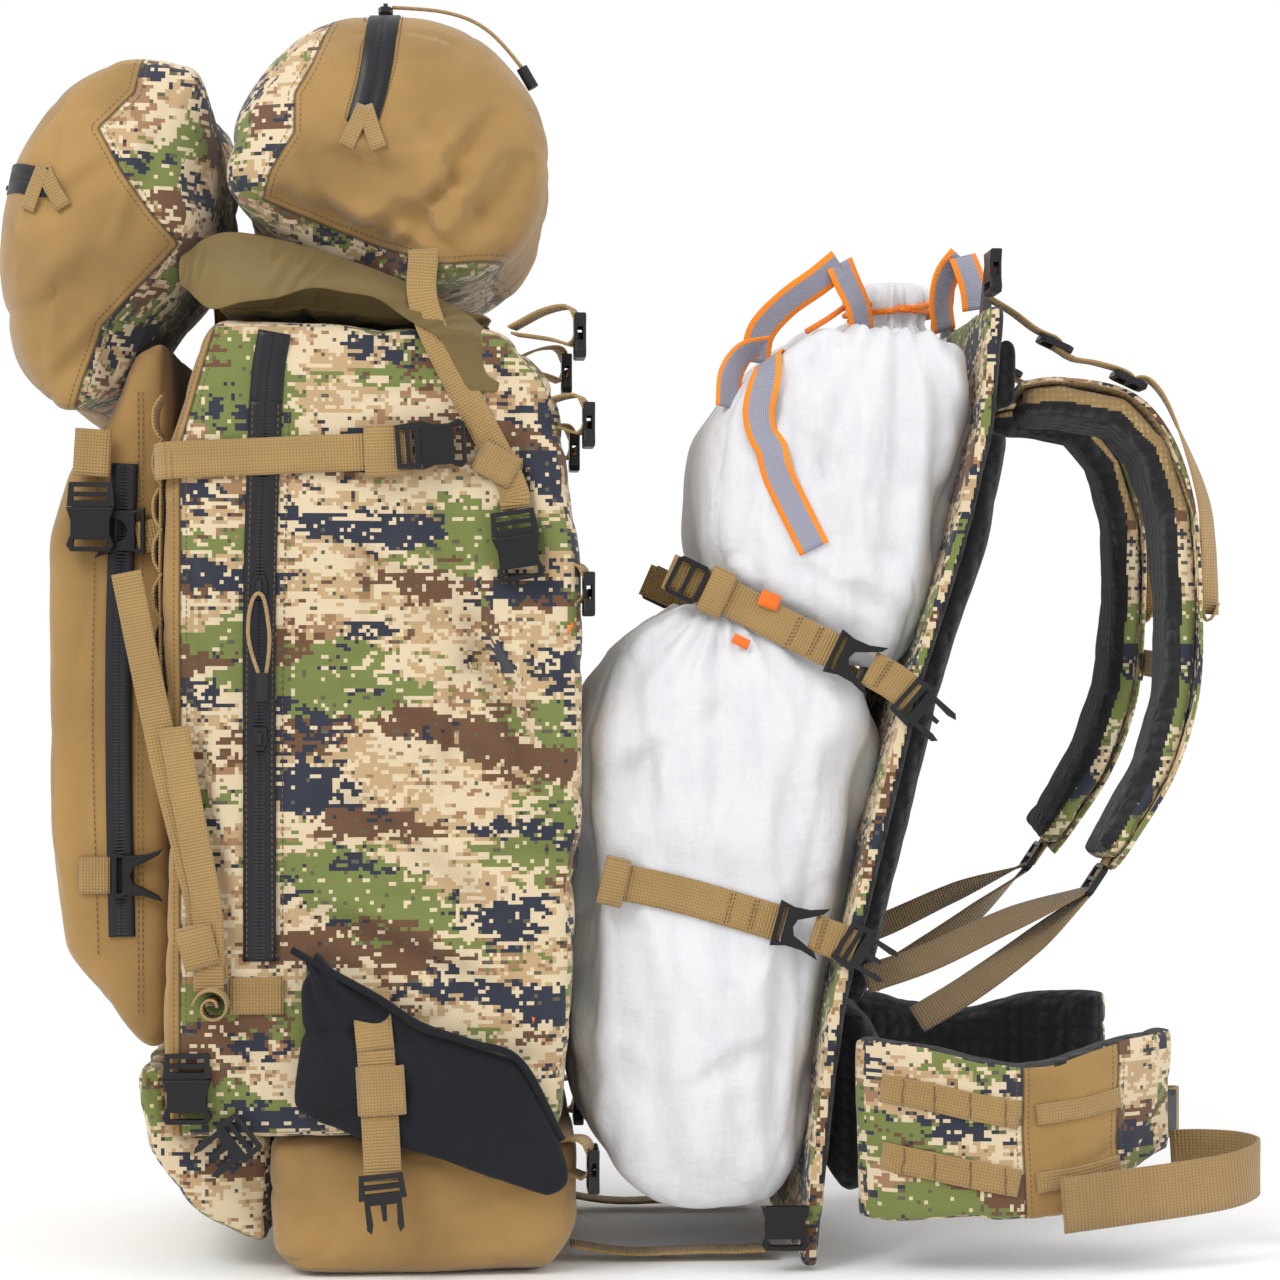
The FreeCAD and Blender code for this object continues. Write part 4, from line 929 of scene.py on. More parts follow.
COMPRESSION = [(-318, 550), (-160, 557)]
SIDE_ZIP = [(-256, 215), (-256, 590)]
LID_STRAP = [(-85, 518), (-91, 542), (-143, 644), (-147, 692)]
TAIL = [(-286, 203), (-344, 475)]
REAR_EDGE = [(-60, 470), (-52, 640)]
FOOT = [(-276, 192), (-240, 192)]
PRESSED = [COMPRESSION, SIDE_ZIP, LID_STRAP, TAIL, REAR_EDGE, FOOT]
BAG_SIDE, LOBE_SIDE, LOAD_SIDE = 165.2, 166.0, 142.4  # how far out straps hold each side, in mm
BAG_FOLDS = [((-190, 470), (-75, 395), 13, -8), ((-215, 500), (-110, 440), 9, -6.4),
             ((-150, 520), (-60, 330), 12, -8), ((-120, 480), (-48, 250), 11, -6.4),
             ((-200, 400), (-80, 330), 10, -4.8), ((-215, 330), (-95, 240), 12, -6.4),
             ((-310, 520), (-285, 380), 9, -6.4), ((-312, 430), (-275, 230), 8, -6.4),
             ((-230, 250), (-90, 190), 11, -6.4), ((-95, 620), (-62, 450), 8, -6.4)]
BAG_PANEL = [(-309, 80), (-309, 560), (-283, 652), (-270, 700)]


def bag_shape(places, normal):
    """Crumpled cloth, most so high up beside the frame, held in by its straps and zips."""
    x, z = places[:, 0] / MM, places[:, 2] / MM
    busy = 0.7 + 1.5 * np.clip((x + 235) / 150, 0, 1) * np.clip((z - 120) / 250, 0.35, 1)
    disp = 3.4 * drift(places, 0.085, 3) - 3.4 * creases(places, 0.075, 5, (1, 1, 1.5), 6) * busy
    disp -= 1.8 * creases(places, 0.034, 8, (1.5, 1, 0.9), 4) * busy
    disp += 0.35 * drift(places, 0.012, 9)
    disp = (disp + 1.2) * MM
    disp = folded(places, disp, BAG_FOLDS, -165)
    return held_in(places, disp, normal, PRESSED, BAG_SIDE, 7.0)


(fore, _, foot), (aft, half, head) = (np.array(corner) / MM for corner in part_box("main_bag"))
bag_outline = [(aft - 12, foot), (fore, foot), (fore, head - 90), (fore + 30, head),
               (aft - 55, head - 8), (aft - 18, head - 45), (aft, head - 170), (aft, foot + 229)]
soft_piece("bag_shell", ["main_bag"], "pack", CAMO_BAG, "camo_fabric", 6, 12, bag_shape,
           solids=[prism(bag_outline, half)], panel=BAG_PANEL)


def crumple(deep, size, stretch, seed):
    """Plain crumpled cloth, about deep mm each way."""
    def shape(places, normal):
        return deep * (0.8 * drift(places, size * 1.4, seed)
                       - 0.9 * creases(places, size, seed + 1, stretch, 6)
                       - 0.4 * creases(places, size * 0.45, seed + 2, stretch, 4)
                       + 0.15 * drift(places, size * 0.18, seed + 3)) * MM
    return shape


soft_piece("boot_shell", ["boot"], "pack", BROWN, "brown_fabric", 5, 7,
           crumple(2.2, 0.05, (1.6, 1, 0.8), 21))
soft_piece("pouch_shell", ["lower_pouch"], "pack", CAMO, "camo_fabric", 5, 6,
           crumple(3.4, 0.04, (1, 1, 1.4), 31))
soft_piece("pocket_shell", ["front_pocket"], "pack", BROWN, "brown_fabric", 5, 8,
           crumple(2.0, 0.08, (1, 1, 2.2), 41))
soft_piece("collar_cloth", ["collar"], "pack", OLIVE_CLOTH, "olive_fabric", 4, 4,
           crumple(5.0, 0.030, (1.0, 1.0, 2.4), 51))


def skirt_mesh():
    """The gathered cloth under the lid, hanging over the bag's top edge on the near side."""
    top = smooth_route([(-312, -128, 690), (-280, -140, 706), (-220, -146, 694), (-150, -146, 668),
                        (-105, -146, 640), (-84, -148, 596)], 3)
    hem = smooth_route([(-311, -140, 668), (-284, -160, 652), (-244, -168, 660),
                        (-200, -168.5, 664), (-165, -168, 650), (-136, -167, 630),
                        (-116, -166, 596)], 3)
    count, levels = 150, 14
    spots = np.linspace(0, 1, count)

    def even(line):
        run = np.linspace(0, 1, len(line))
        return np.stack([np.interp(spots, run, line[:, k]) for k in range(3)], 1)

    top, hem = even(top), even(hem)
    verts = []
    for j in range(levels):
        share = j / (levels - 1)
        row = top + (hem - top) * share
        swell = 7 * math.sin(math.pi * share) + 2
        fine = np.sin(spots * 74 + 3 * np.sin(spots * 17) + share * 1.5) * (2.3 - 0.9 * share)
        broad = np.sin(spots * 23 + share * 2.2) * 2.6
        loose = 0.35 + 0.65 * math.sin(math.pi * min(1, share + 0.15))
        row[:, 1] -= swell + (fine + broad) * loose
        row[:, 2] += 1.6 * np.sin(spots * 31 + 1.0) * share
        verts += [tuple(v * MM) for v in row]
    faces = [(j * count + i, j * count + i + 1, (j + 1) * count + i + 1, (j + 1) * count + i)
             for j in range(levels - 1) for i in range(count - 1)]
    mesh = bpy.data.meshes.new("skirt")
    mesh.from_pydata(verts, [], faces)
    mesh = through(mesh, [("SOLIDIFY", {"thickness": 0.0012, "offset": 0.0}),
                          SUBDIVIDED])
    box_uv(mesh)
    return mesh


both("collar_skirt", skirt_mesh(), "pack", OLIVE_CLOTH, "olive_fabric")


POCKET_TIP = (-232, 235)


def stretch_shape(places, normal):
    """Stretch cloth pulled up to the pocket's tip, in folds that fan out from it."""
    x, z = places[:, 0] / MM, places[:, 2] / MM
    tip_x, tip_z = POCKET_TIP
    turn = np.arctan2(z - tip_z, x - tip_x)
    away = np.hypot(x - tip_x, z - tip_z)
    fan = np.sin(turn * 21 + 2.0 * drift(places, 0.05, 62)) * np.exp(-away / 85)
    disp = 3.4 * fan + 3.0 * drift(places, 0.05, 61)
    return (disp - 3.4 * creases(places, 0.06, 63, (1.8, 1, 0.8))) * MM


soft_piece("stretch_pockets", ["side_pockets"], "pack", STRETCH, "black_fabric", 4, 9,
           stretch_shape)

stretch_edge = [tube_mesh([(-234, -180, 224), (-205, -184, 208), (-176, -186, 192),
                           (-148, -186.5, 174), (-114, -186, 162), (-82, -184, 149),
                           (-54, -178, 96)], 2.6)]
both("stretch_edges", stretch_edge, "pack", STRETCH, "black_fabric")
pocket_seams = [stitch_mesh([(x, -122.6, low), (x + bow, -123.0, (low + high) / 2),
                             (x, -122.6, high)], (0, -1, 0))
                for x, bow, low, high in ((-338, 0, 175, 600), (-368, -4, 215, 560),
                                          (-341, 0, 175, 600))]
both("pocket_stitches", pocket_seams, "pack", THREAD, "brown_fabric")
daisy = [ribbon_mesh([(-321.5, -146, 566), (-322.5, -146, 470), (-321.5, -146, 372)],
                     (0.12, 1, 0), 20, 1.4)]
for z in range(385, 566, 30):
    daisy.append(ribbon_mesh([(-322, -146, z), (-326.5, -147, z + 8), (-326.5, -147, z + 20),
                              (-322, -146, z + 28)], (0.12, 1, 0), 20, 1.4))
both("daisy_chains", daisy, "pack", WEBBING, "webbing")

# Lid -------------------------------------------------------------------------------------------


def lobe_shape(folds, seed, limit_lines):
    """Full cloth with its own folds, held in by the straps along limit_lines."""
    def shape(places, normal):
        disp = (3.0 * drift(places, 0.08, seed)
                - 3.2 * creases(places, 0.10, seed + 1, (1.6, 1, 1), 8)
                - 1.5 * creases(places, 0.042, seed + 2, (1, 1, 1.5), 6)
                + 0.35 * drift(places, 0.015, seed + 3)) * MM
        disp = folded(places, disp, folds, 160)
        return held_in(places, disp, normal, limit_lines, LOBE_SIDE, 14.0, 40, 12)
    return shape


def crowned(centre, way, drop, reach):
    """Rounds a lobe off towards its two ends and keeps it under its zip tape."""
    centre, way = np.array(centre) * MM, np.array(way, float)
    cross = np.array((way[2], 0, -way[0]))

    def warp(places):
        rise = (places - centre) @ way
        ends = np.clip(np.abs(places[:, 1]) / 0.166, 0, 1.1) ** 4
        share = np.clip((rise + reach * MM) / (reach * MM), 0, 1)
        places = places - way * (drop * MM * ends * share)[:, None]
        rise = (places - centre) @ way
        off = np.maximum(np.abs((places - centre) @ cross) / MM - 12, 0)
        allow = (-0.8 + 5.0 * (1 - np.exp(-((off / 25) ** 2)))) * MM
        return places - way * np.maximum(rise - allow, 0)[:, None]
    return warp


front_folds = [((-425, 640), (-365, 690), 12, -5), ((-415, 720), (-355, 752), 9, -4),
               ((-400, 600), (-352, 650), 8, -4), ((-345, 690), (-325, 770), 9, -4),
               ((-425, 700), (-380, 640), 8, -3)]
top_folds = [((-130, 690), (-75, 760), 11, -9), ((-160, 690), (-95, 800), 9, -8),
             ((-190, 700), (-110, 745), 8, -9), ((-215, 760), (-150, 735), 9, -6),
             ((-250, 730), (-160, 690), 10, -8), ((-120, 680), (-170, 730), 6, -6),
             ((-100, 700), (-150, 790), 7, -6), ((-205, 700), (-228, 770), 8, -5)]
front_lobe = soft_piece(
    "lid_front", ["lid_front_lobe"], "lid", BROWN_PANELS, "camo_fabric", 6, 7,
    lobe_shape(front_folds, 71, [[(-372, 541), (-370, 590)]]), (4.0, 0.013),
    warp=crowned((-428.7, 0, 742), (-0.962, 0, 0.272), 17, 90),
    panel=[(-330, 850), (-340, 797), (-348, 789), (-364, 773), (-348, 743), (-329, 716),
           (-312, 698), (-364, 642), (-380, 592), (-392, 560)])
top_lobe = soft_piece(
    "lid_top", ["lid_top_lobe"], "lid", BROWN_PANELS, "brown_fabric", 6, 7,
    lobe_shape(top_folds, 81, [LID_STRAP]), (4.0, 0.014),
    warp=crowned((-174, 0, 862.6), (0, 0, 1), 26, 110),
    panel=[(-60, 688), (-100, 686), (-138, 683), (-255, 727), (-249, 745), (-233, 770),
           (-233, 797), (-222, 816), (-205, 860)])
top_tree, front_tree = tree_of(top_lobe), tree_of(front_lobe)
top_zip = surface_ribbon(top_tree, [(-188, -175, 775), (-178, -168, 815), (-174, -140, 862),
                                    (-174, -70, 870), (-174, 0, 872), (-174, 70, 870),
                                    (-174, 111, 866)], 21, 1.2, 0.8)
front_zip = surface_ribbon(front_tree, [(-400, -172, 735), (-424, -140, 742), (-430, -70, 742),
                                        (-431, 0, 742), (-430, 70, 742), (-428, 111, 742)], 20,
                           1.2, 0.8)
finished("lid_zips", merged([top_zip, front_zip]), "lid", ZIP, "zip_tape", ["lid_zip_tapes"])
rows = []
for off in (-12.5, 12.5):
    beside = [(-188 + off, -178, 780), (-178 + off, -168, 818), (-174 + off, -140, 862),
              (-174 + off, 0, 872), (-174 + off, 105, 866)]
    rows.append(stitch_mesh(on_surface(top_tree, beside, 0.4)[0], (0, -0.5, 0.7)))
finished("lid_stitches", merged(rows), "lid", THREAD, "brown_fabric")

# Webbing on the bag ----------------------------------------------------------------------------

Y_SIDE, Y_OVER, Y_FRONT = -166.6, -168.3, -124.5
FLAT = (0, 0, 1)


def side_web(route, y, wide=25, wave=0.0, seed=1):
    """Webbing that lies flat on a side, along a route of (x, z)."""
    (x0, z0), (x1, z1) = route[0], route[-1]
    long = math.hypot(x1 - x0, z1 - z0)
    across = []
    for i in range(len(route)):
        a, b = route[max(i - 1, 0)], route[min(i + 1, len(route) - 1)]
        run = math.hypot(b[0] - a[0], b[1] - a[1])
        across.append((-(b[1] - a[1]) / run, 0, (b[0] - a[0]) / run))
    return ribbon_mesh([(x, y, z) for x, z in route], across, wide, 1.8, wave, seed)


def keeper(x, y, z, wide, tall, turn=0.0, deep=5.0):
    """A sewn band that wraps round a strap and holds its loose end."""
    c, s = math.cos(math.radians(turn)), math.sin(math.radians(turn))
    half, out = tall / 2, deep / 2
    ring = [(half - 1, -out), (half, 0), (half - 1, out), (0, out + 0.3), (-half + 1, out),
            (-half, 0), (-half + 1, -out), (0, -out - 0.5), (half - 1, -out)]
    route = [(x - s * h, y + d, z + c * h) for h, d in ring]
    return ribbon_mesh(route, (c, 0, s), wide, 1.6)


bag_straps = [
    side_web(COMPRESSION, Y_OVER, 25, 0.25, 2),
    side_web(FOOT, Y_SIDE),
    side_web([(-381, 270), (-360, 270)], Y_FRONT),
    keeper(-170, -169.6, 557, 32, 33, 2.5, 4.6),
    ribbon_mesh([(-326, -160, 549), (-322, -166.4, 549.5), (-314, -168.3, 550)], FLAT, 25),
    side_web([(-342, 499), (-322, 503), (-312, 503)], -125.2, 22),
]
for x, z in ((-41, 650), (-35, 590), (-35, 476), (-32, 87)):
    bag_straps.append(ribbon_mesh([(x - 46, -138, z - 8), (x - 24, -144, z + 3),
                                   (x - 7, -151, z + 5), (x - 1, -153, z - 5)],
                                  (0.25, 1, 0), 24))
    bag_straps.append(ribbon_mesh([(x - 44, -138, z - 12), (x - 20, -145, z - 16),
                                   (x - 5, -151, z - 20), (x - 1, -153, z - 12)],
                                  (0.25, 1, 0), 22))
both("bag_straps", bag_straps, "pack", WEBBING, "webbing", ["bag_webbing"])
spiral = [(-286 + r * math.cos(a), -181, 187 + r * math.sin(a))
          for r, a in ((3.5 + 0.62 * i, i * 0.62) for i in range(16))]
tails = [
    side_web([(-286, 203), (-297, 262), (-316, 340), (-333, 420), (-344, 475)], -172.2, 20, 0.8, 3),
    side_web([(-289, 196), (-290, 250), (-303, 320), (-312, 372)], -176.2, 20, 0.8, 4),
    ribbon_mesh(spiral, (0, 1, 0), 25, 1.5),
    keeper(-296, -176, 226, 24, 27, 14, 8.0),
]
both("loose_tails", tails, "pack", WEBBING, "webbing", ["lid_tail_webbing"])
zip_tapes = [side_web([(-256, 215), (-256, 330), (-256, 460), (-252, 590)], -166.3, 22),
             side_web([(-252, 588), (-250, 612), (-246, 636)], -166.2, 22),
             side_web([(-352, 228), (-354, 330), (-354, 440), (-350, 550)], -123.4, 18)]
both("bag_zips", zip_tapes, "pack", ZIP, "zip_tape", ["zip_tapes"])
zip_rows = [stitch_mesh([(-256 + off, y, 217), (-256 + off, y, 400), (-252 + off, y, 588)],
                        (0, -1, 0)) for off, y in ((-8.5, -167.1), (8.5, -167.1), (15.5, -166.0))]
both("zip_stitches", zip_rows, "pack", THREAD, "zip_tape")

# Straps that move with the lid -----------------------------------------------------------------

lid_webs = [
    side_web([(-372, 541), (-370, 573)], -132.3),
    side_web(LID_STRAP, -167.6, 20, 0.4, 5),
    keeper(-98, -168.6, 548, 22, 27, 62, 5.0),
]
both("lid_straps", lid_webs, "lid", WEBBING, "webbing", ["lid_webbing"])
loops = []
for tree, tip, feet in ((top_tree, (-186, -176, 788), ((-199, -180, 757), (-176, -182, 757))),
                        (front_tree, (-404, -168, 748), ((-413, -160, 718), (-391, -176, 722)))):
    for foot in feet:
        middle = tuple((a + b) / 2 for a, b in zip(foot, tip))
        loops.append(surface_ribbon(tree, [foot, middle, tip], 11, 1.3, 2.4))
finished("lid_loops", merged(loops), "lid", WEBBING, "webbing")

# Game bag: held in by its straps, puffed out between them --------------------------------------

HIGH = [(19, 477), (137, 420), (200, 390)]
LOW = [(-24, 268), (98, 236), (160, 214)]
HANDLE = [(119, 487), (100, 530), (85, 560), (82, 600)]


def load_shape(seed, folds, gather):
    """Cotton drawn in to one place, gather (x, z), from which its pleats fan out."""
    def shape(places, normal):
        disp = 2.5 + 3.2 * drift(places, 0.09, seed)
        disp -= 4.2 * creases(places, 0.075, seed + 1, (1, 1, 2.4), 6)
        disp -= 2.4 * creases(places, 0.034, seed + 2, (1, 1, 2.2), 5)
        disp += 0.5 * drift(places, 0.014, seed + 3, (1, 1, 1.6))
        away = places[:, [0, 2]] - np.array(gather) * MM
        turn = np.arctan2(away[:, 0], -away[:, 1])
        far = np.linalg.norm(away, axis=1)
        pleats = np.sin(turn * 19 + 2.2 * drift(places, 0.07, seed + 5))
        disp += 4.6 * pleats * np.exp(-far / 0.12) * np.clip(far / 0.05, 0, 1)
        disp *= MM
        disp = folded(places, disp, folds, 140)
        return held_in(places, disp, normal, [HIGH, LOW, HANDLE], LOAD_SIDE, 10.0, 24, 13)
    return shape


lower_folds = [((-10, 420), (10, 300), 12, -7), ((60, 440), (50, 290), 11, -6),
               ((120, 400), (90, 260), 10, -6), ((0, 225), (20, 60), 12, -6),
               ((60, 230), (70, 60), 11, -5), ((100, 215), (88, 70), 9, -5),
               ((-20, 330), (60, 390), 10, -5), ((20, 120), (100, 160), 9, -4)]
upper_folds = [((100, 620), (70, 480), 10, -7), ((140, 630), (120, 470), 10, -7),
               ((180, 635), (170, 450), 10, -7), ((205, 630), (205, 500), 8, -6),
               ((80, 600), (160, 520), 9, -5), ((70, 500), (190, 440), 10, -5)]
soft_piece("load_lower", ["game_bag_lower"], "pack", COTTON, "white_fabric", 6, 8,
           load_shape(91, lower_folds, (60, 470)), (4.0, 0.012))
soft_piece("load_upper", ["game_bag_upper"], "pack", COTTON, "white_fabric", 6, 8,
           load_shape(101, upper_folds, (180, 690)), (4.0, 0.012))


NECK_X = 189


def neck_mesh():
    """The gathered mouth of the game bag: pleats drawn in by the cord, flaring above it."""
    verts, faces = [], []
    levels = [(604, 62), (622, 50), (638, 38), (650, 30), (657, 24.5), (661, 23.5), (666, 27),
              (674, 31), (683, 30), (689, 24), (687, 15), (680, 5)]
    count = 144
    for z, radius in levels:
        for i in range(count):
            turn = 2 * math.pi * i / count
            deep = 0.10 if 645 < z < 685 else 0.05
            pleat = 1 + deep * math.sin(turn * 11 + 0.6 * math.sin(turn * 3)) \
                + deep * 0.5 * math.sin(turn * 23 + 1.3)
            verts.append(((NECK_X + radius * pleat * math.cos(turn)) * MM,
                          radius * pleat * math.sin(turn) * MM, z * MM))
    for j in range(len(levels) - 1):
        for i in range(count):
            k = (i + 1) % count
            faces.append((j * count + i, j * count + k, (j + 1) * count + k, (j + 1) * count + i))
    faces.append(tuple(range((len(levels) - 1) * count, len(levels) * count)))
    mesh = bpy.data.meshes.new("neck")
    mesh.from_pydata(verts, [], faces)
    mesh = through(mesh, [SUBDIVIDED])
    box_uv(mesh)
    return mesh


finished("load_neck", neck_mesh(), "pack", COTTON, "white_fabric", ["game_bag_neck"])
neck_tree = tree_of(bpy.data.objects["load_neck"])
cord_rings = []
for height, lean, way in ((670, 7, 0.9), (662, 4, 2.6)):
    ring = [(NECK_X + 34 * math.cos(a), 34 * math.sin(a), height + lean * math.sin(a + way))
            for a in np.linspace(0, 2 * math.pi, 25)]
    cord_rings.append(tube_mesh(on_surface(neck_tree, ring, 1.6, 3)[0], 2.1))
knot = [(172, -28, 671), (163, -36, 674), (152, -46, 668), (138, -56, 658), (122, -64, 648)]
finished("neck_cord", merged([*cord_rings, tube_mesh(knot, 2.1)]),
         "pack", ORANGE_CORD, "signal_webbing")
load_tree = tree_of(bpy.data.objects["load_upper"])
handles = [
    ribbon_mesh([(86, -62, 626), (90, -64, 648), (108, -64, 668), (130, -62, 684),
                 (146, -60, 697)],
                [(0.9, 0.35, -0.1), (0.85, 0.4, -0.35), (0.6, 0.5, -0.6), (0.5, 0.45, -0.7),
                 (0.5, 0.4, -0.75)], 23, 1.4),
    ribbon_mesh([(146, -59, 697), (152, -56, 684), (160, -52, 668), (164, -46, 650)],
                [(0.85, 0.4, 0.35), (0.85, 0.45, 0.3), (0.8, 0.55, 0.2), (0.8, 0.6, 0.1)], 23, 1.4),
    ribbon_mesh([(243, -64, 664), (241, -66, 678), (237, -66, 691), (233, -64, 702)],
                [(0.93, 0.36, 0.1), (0.93, 0.36, 0.15), (0.9, 0.38, 0.25), (0.9, 0.4, 0.2)],
                23, 1.4),
    ribbon_mesh([(232, -62, 702), (223, -60, 690), (219, -56, 672), (222, -50, 650)],
                [(0.85, 0.5, -0.2), (0.85, 0.5, -0.1), (0.8, 0.6, 0), (0.8, 0.6, 0)], 23, 1.4),
    surface_ribbon(load_tree, [(119, -165, 492), (100, -165, 530), (86, -165, 562),
                               (82, -160, 590), (86, -140, 618), (88, -100, 640)], 22, 1.4, 1.7),
    ribbon_mesh([(62, -120, 590), (64, -112, 612), (74, -100, 628), (90, -88, 636)],
                [(0.8, 0.3, -0.3), (0.8, 0.4, -0.3), (0.6, 0.7, -0.4), (0.3, 0.9, -0.2)], 20, 1.4),
]
finished("load_handles", merged(handles), "pack", SIGNAL, "signal_webbing",
         ["game_bag_handles"])
tags = [ribbon_mesh([(86, -147, 452), (90, -148.5, 462)], (0.9, 0, -0.42), 14, 1.2),
        ribbon_mesh([(70, -147, 432), (67, -148, 426)], (0.9, 0, -0.42), 12, 1.2),
        ribbon_mesh([(-80, -166.5, 167), (-76, -167.2, 178)], (0.8, 0, -0.5), 10, 2.4),
        ribbon_mesh([(-50, -160, 436), (-47, -163, 442)], (0.3, 0, 1), 8, 1.2)]
finished("pull_tabs", merged(tags), "pack", ORANGE, "signal_webbing")

load_webs = [
    side_web([(19, 477), (60, 459), (100, 438), (137, 420)], -144.6, 25, 0.4, 6),
    side_web([(-24, 268), (30, 256), (98, 236)], -144.6, 25, 0.4, 7),
    ribbon_mesh([(156, -147, 411), (172, -150, 402), (186, -153, 391)], (0.5, 0, 0.86), 25),
    ribbon_mesh([(117, -147, 231), (132, -150, 226), (146, -153, 220)], (0.3, 0, 0.95), 25),
    ribbon_mesh([(-46, -100, 12), (0, -100, 6), (94, -100, 8)], (0, 1, 0), 25, 1.8, 0.5, 8),
    keeper(52, -145.2, 463, 17, 31, -25, 7.0),
    keeper(-18, -145.2, 266, 17, 31, -13, 7.0),
]
both("load_straps", load_webs, "pack", WEBBING, "webbing", ["load_webbing"])
INNER_FACE, OUTER_FACE = -145.6, -150.4  # the load straps' outer side, in front and behind
tacks = []
for x, z, y, way in ((104, 436, INNER_FACE, (0.45, 0.89)), (118, 429, INNER_FACE, (0.45, 0.89)),
                     (60, 247.5, INNER_FACE, (0.27, 0.96)), (76, 243, INNER_FACE, (0.27, 0.96)),
                     (164, 407, OUTER_FACE, (0.55, 0.83)), (178, 398, OUTER_FACE, (0.55, 0.83)),
                     (122, 230, OUTER_FACE, (0.3, 0.95)), (137, 225, OUTER_FACE, (0.3, 0.95))):
    for off in (0, 2.4):
        tacks.append(stitch_mesh([(x - way[0] * 11 + off, y, z - way[1] * 11),
                                  (x + way[0] * 11 + off, y, z + way[1] * 11)], (0, -1, 0),
                                 2.6, 2.2, 0.9))
both("strap_tacks", tacks, "pack", THREAD, "webbing")

# Frame, pads and harness -----------------------------------------------------------------------

cover = soft_piece("frame_cover", ["frame_panel"], "pack", FRAME_CLOTH, "frame_fabric", 4, 2,
                   crumple(0.8, 0.06, (1, 1, 1.5), 111))
FRAME_LINE = [(108.6, 4), (117.7, 92), (128.2, 178), (153.1, 284), (181.9, 403), (213.4, 502),
              (231.7, 581), (238.2, 660)]
second_look(cover, MESH, lambda centre, normal:
            (np.abs(line_distance(centre[:, [0, 2]], FRAME_LINE)[0]) > 7.5) & (centre[:, 2] > 60))
soft_piece("back_padding", ["back_pad"], "pack", MESH, "black_mesh", 5, 5,
           crumple(1.4, 0.06, (1, 1, 1), 121), (3.0, 0.004))
soft_piece("lumbar_padding", ["lumbar_pad"], "pack", MESH, "black_mesh", 5, 5,
           crumple(1.4, 0.06, (1, 1, 1), 131), (3.0, 0.005))
soft_piece("yoke_padding", ["yoke_pad"], "pack", MESH, "black_mesh", 4, 3,
           crumple(0.8, 0.06, (1, 1, 1), 141))
STRAP_LINE = [(268, 603), (297, 606), (343, 597), (370, 568), (385, 519), (388, 459), (384, 391),
              (366, 336), (337, 290), (325, 274)]


def strap_place(x, z, aside=0.0):
    """A place on a near shoulder strap's outer face, aside mm outwards."""
    drop = max(0.0, 603 - z)
    return (x, -72 - drop * 0.146 - aside, z)


def raised(line, lift):
    """The strap's line moved outwards from its foam."""
    out = []
    for i, (x, z) in enumerate(line):
        a, b = line[max(i - 1, 0)], line[min(i + 1, len(line) - 1)]
        run = math.hypot(b[0] - a[0], b[1] - a[1])
        out.append((x - (b[1] - a[1]) / run * lift, z + (b[0] - a[0]) / run * lift))
    return out


LEAN_OUT = (0.0, 0.99, -0.14)
skin_line = [strap_place(x, z) for x, z in raised(STRAP_LINE, 1.6)]
rail_line = [strap_place(x, z, aside=6) for x, z in raised(STRAP_LINE, 3.2)]


def strap_skin(deep, low, high):
    """Picks the faces of a shoulder strap within deep mm of its outer line, between two heights."""
    def chosen(centre, normal):
        inside = line_distance(centre[:, [0, 2]], STRAP_LINE)[0]
        return (np.abs(inside) < deep) & (centre[:, 2] > low) & (centre[:, 2] < high)
    return chosen


for side in ("near", "far"):
    strap = soft_piece(f"shoulder_{side}", [f"shoulder_strap_{side}"], "pack", MESH, "black_mesh",
                       4, 6, crumple(1.3, 0.05, (1, 1, 1), 151), (3.0, 0.003))
    second_look(strap, CAMO, strap_skin(10.5, 200, 520))
    second_look(strap, TAN_MESH, strap_skin(8.5, 520, 640))
both("strap_covers", ribbon_mesh(skin_line[3:], LEAN_OUT, 60, 2.6), "pack", CAMO, "camo_fabric")
both("strap_top_mesh", ribbon_mesh(skin_line[:5], LEAN_OUT, 54, 2.8), "pack", TAN_MESH,
     "black_mesh")
both("strap_rails", ribbon_mesh(rail_line[1:], LEAN_OUT, 20, 1.8), "pack", WEBBING, "webbing")
edges = [tube_mesh([(x, y + off, z - off * 0.14) for x, y, z in skin_line], 1.7)
         for off in (-31, 31)]
both("strap_bindings", edges, "pack", CAMO, "camo_fabric")

ends = [ribbon_mesh([(337, -112, 294), (322, -117, 272), (316, -121, 262)], (0, 1, -0.1), 24, 2.4)]
both("strap_ends", ends, "pack", WEBBING, "webbing")
lifter = (0, 1, 0)
harness = [
    ribbon_mesh([(246, -102, 668), (262, -102, 658.5), (276, -102, 648), (284, -102, 643.6),
                 (291, -102, 641), (295, -102, 637.5)], lifter, 20),
    ribbon_mesh([(290, -102, 635), (297, -102, 630.5), (305, -102, 626), (318, -102, 624),
                 (330, -102, 621), (336, -102, 619.2), (343, -102, 616), (347, -102, 612)],
                lifter, 20),
    ribbon_mesh([(345, -102, 610), (350, -102.5, 612.5), (357, -103, 611), (366, -104.5, 601),
                 (377, -106, 580), (394, -108, 530), (399, -110, 480),
                 (399, -112, 448)], [(0, 1, 0), (0.2, 1, 0), (0.5, 0.8, 0), (0.7, 0.7, 0),
                                     (0.8, 0.6, 0)], 20, 1.8, 1.2, 9),
    ribbon_mesh([(405, -112, 455), (401, -112, 446), (396, -112, 444), (394, -112, 452)],
                (0.2, 1, 0), 20, 1.6),
]
both("lifters", harness, "pack", WEBBING, "webbing", ["harness_webbing"])
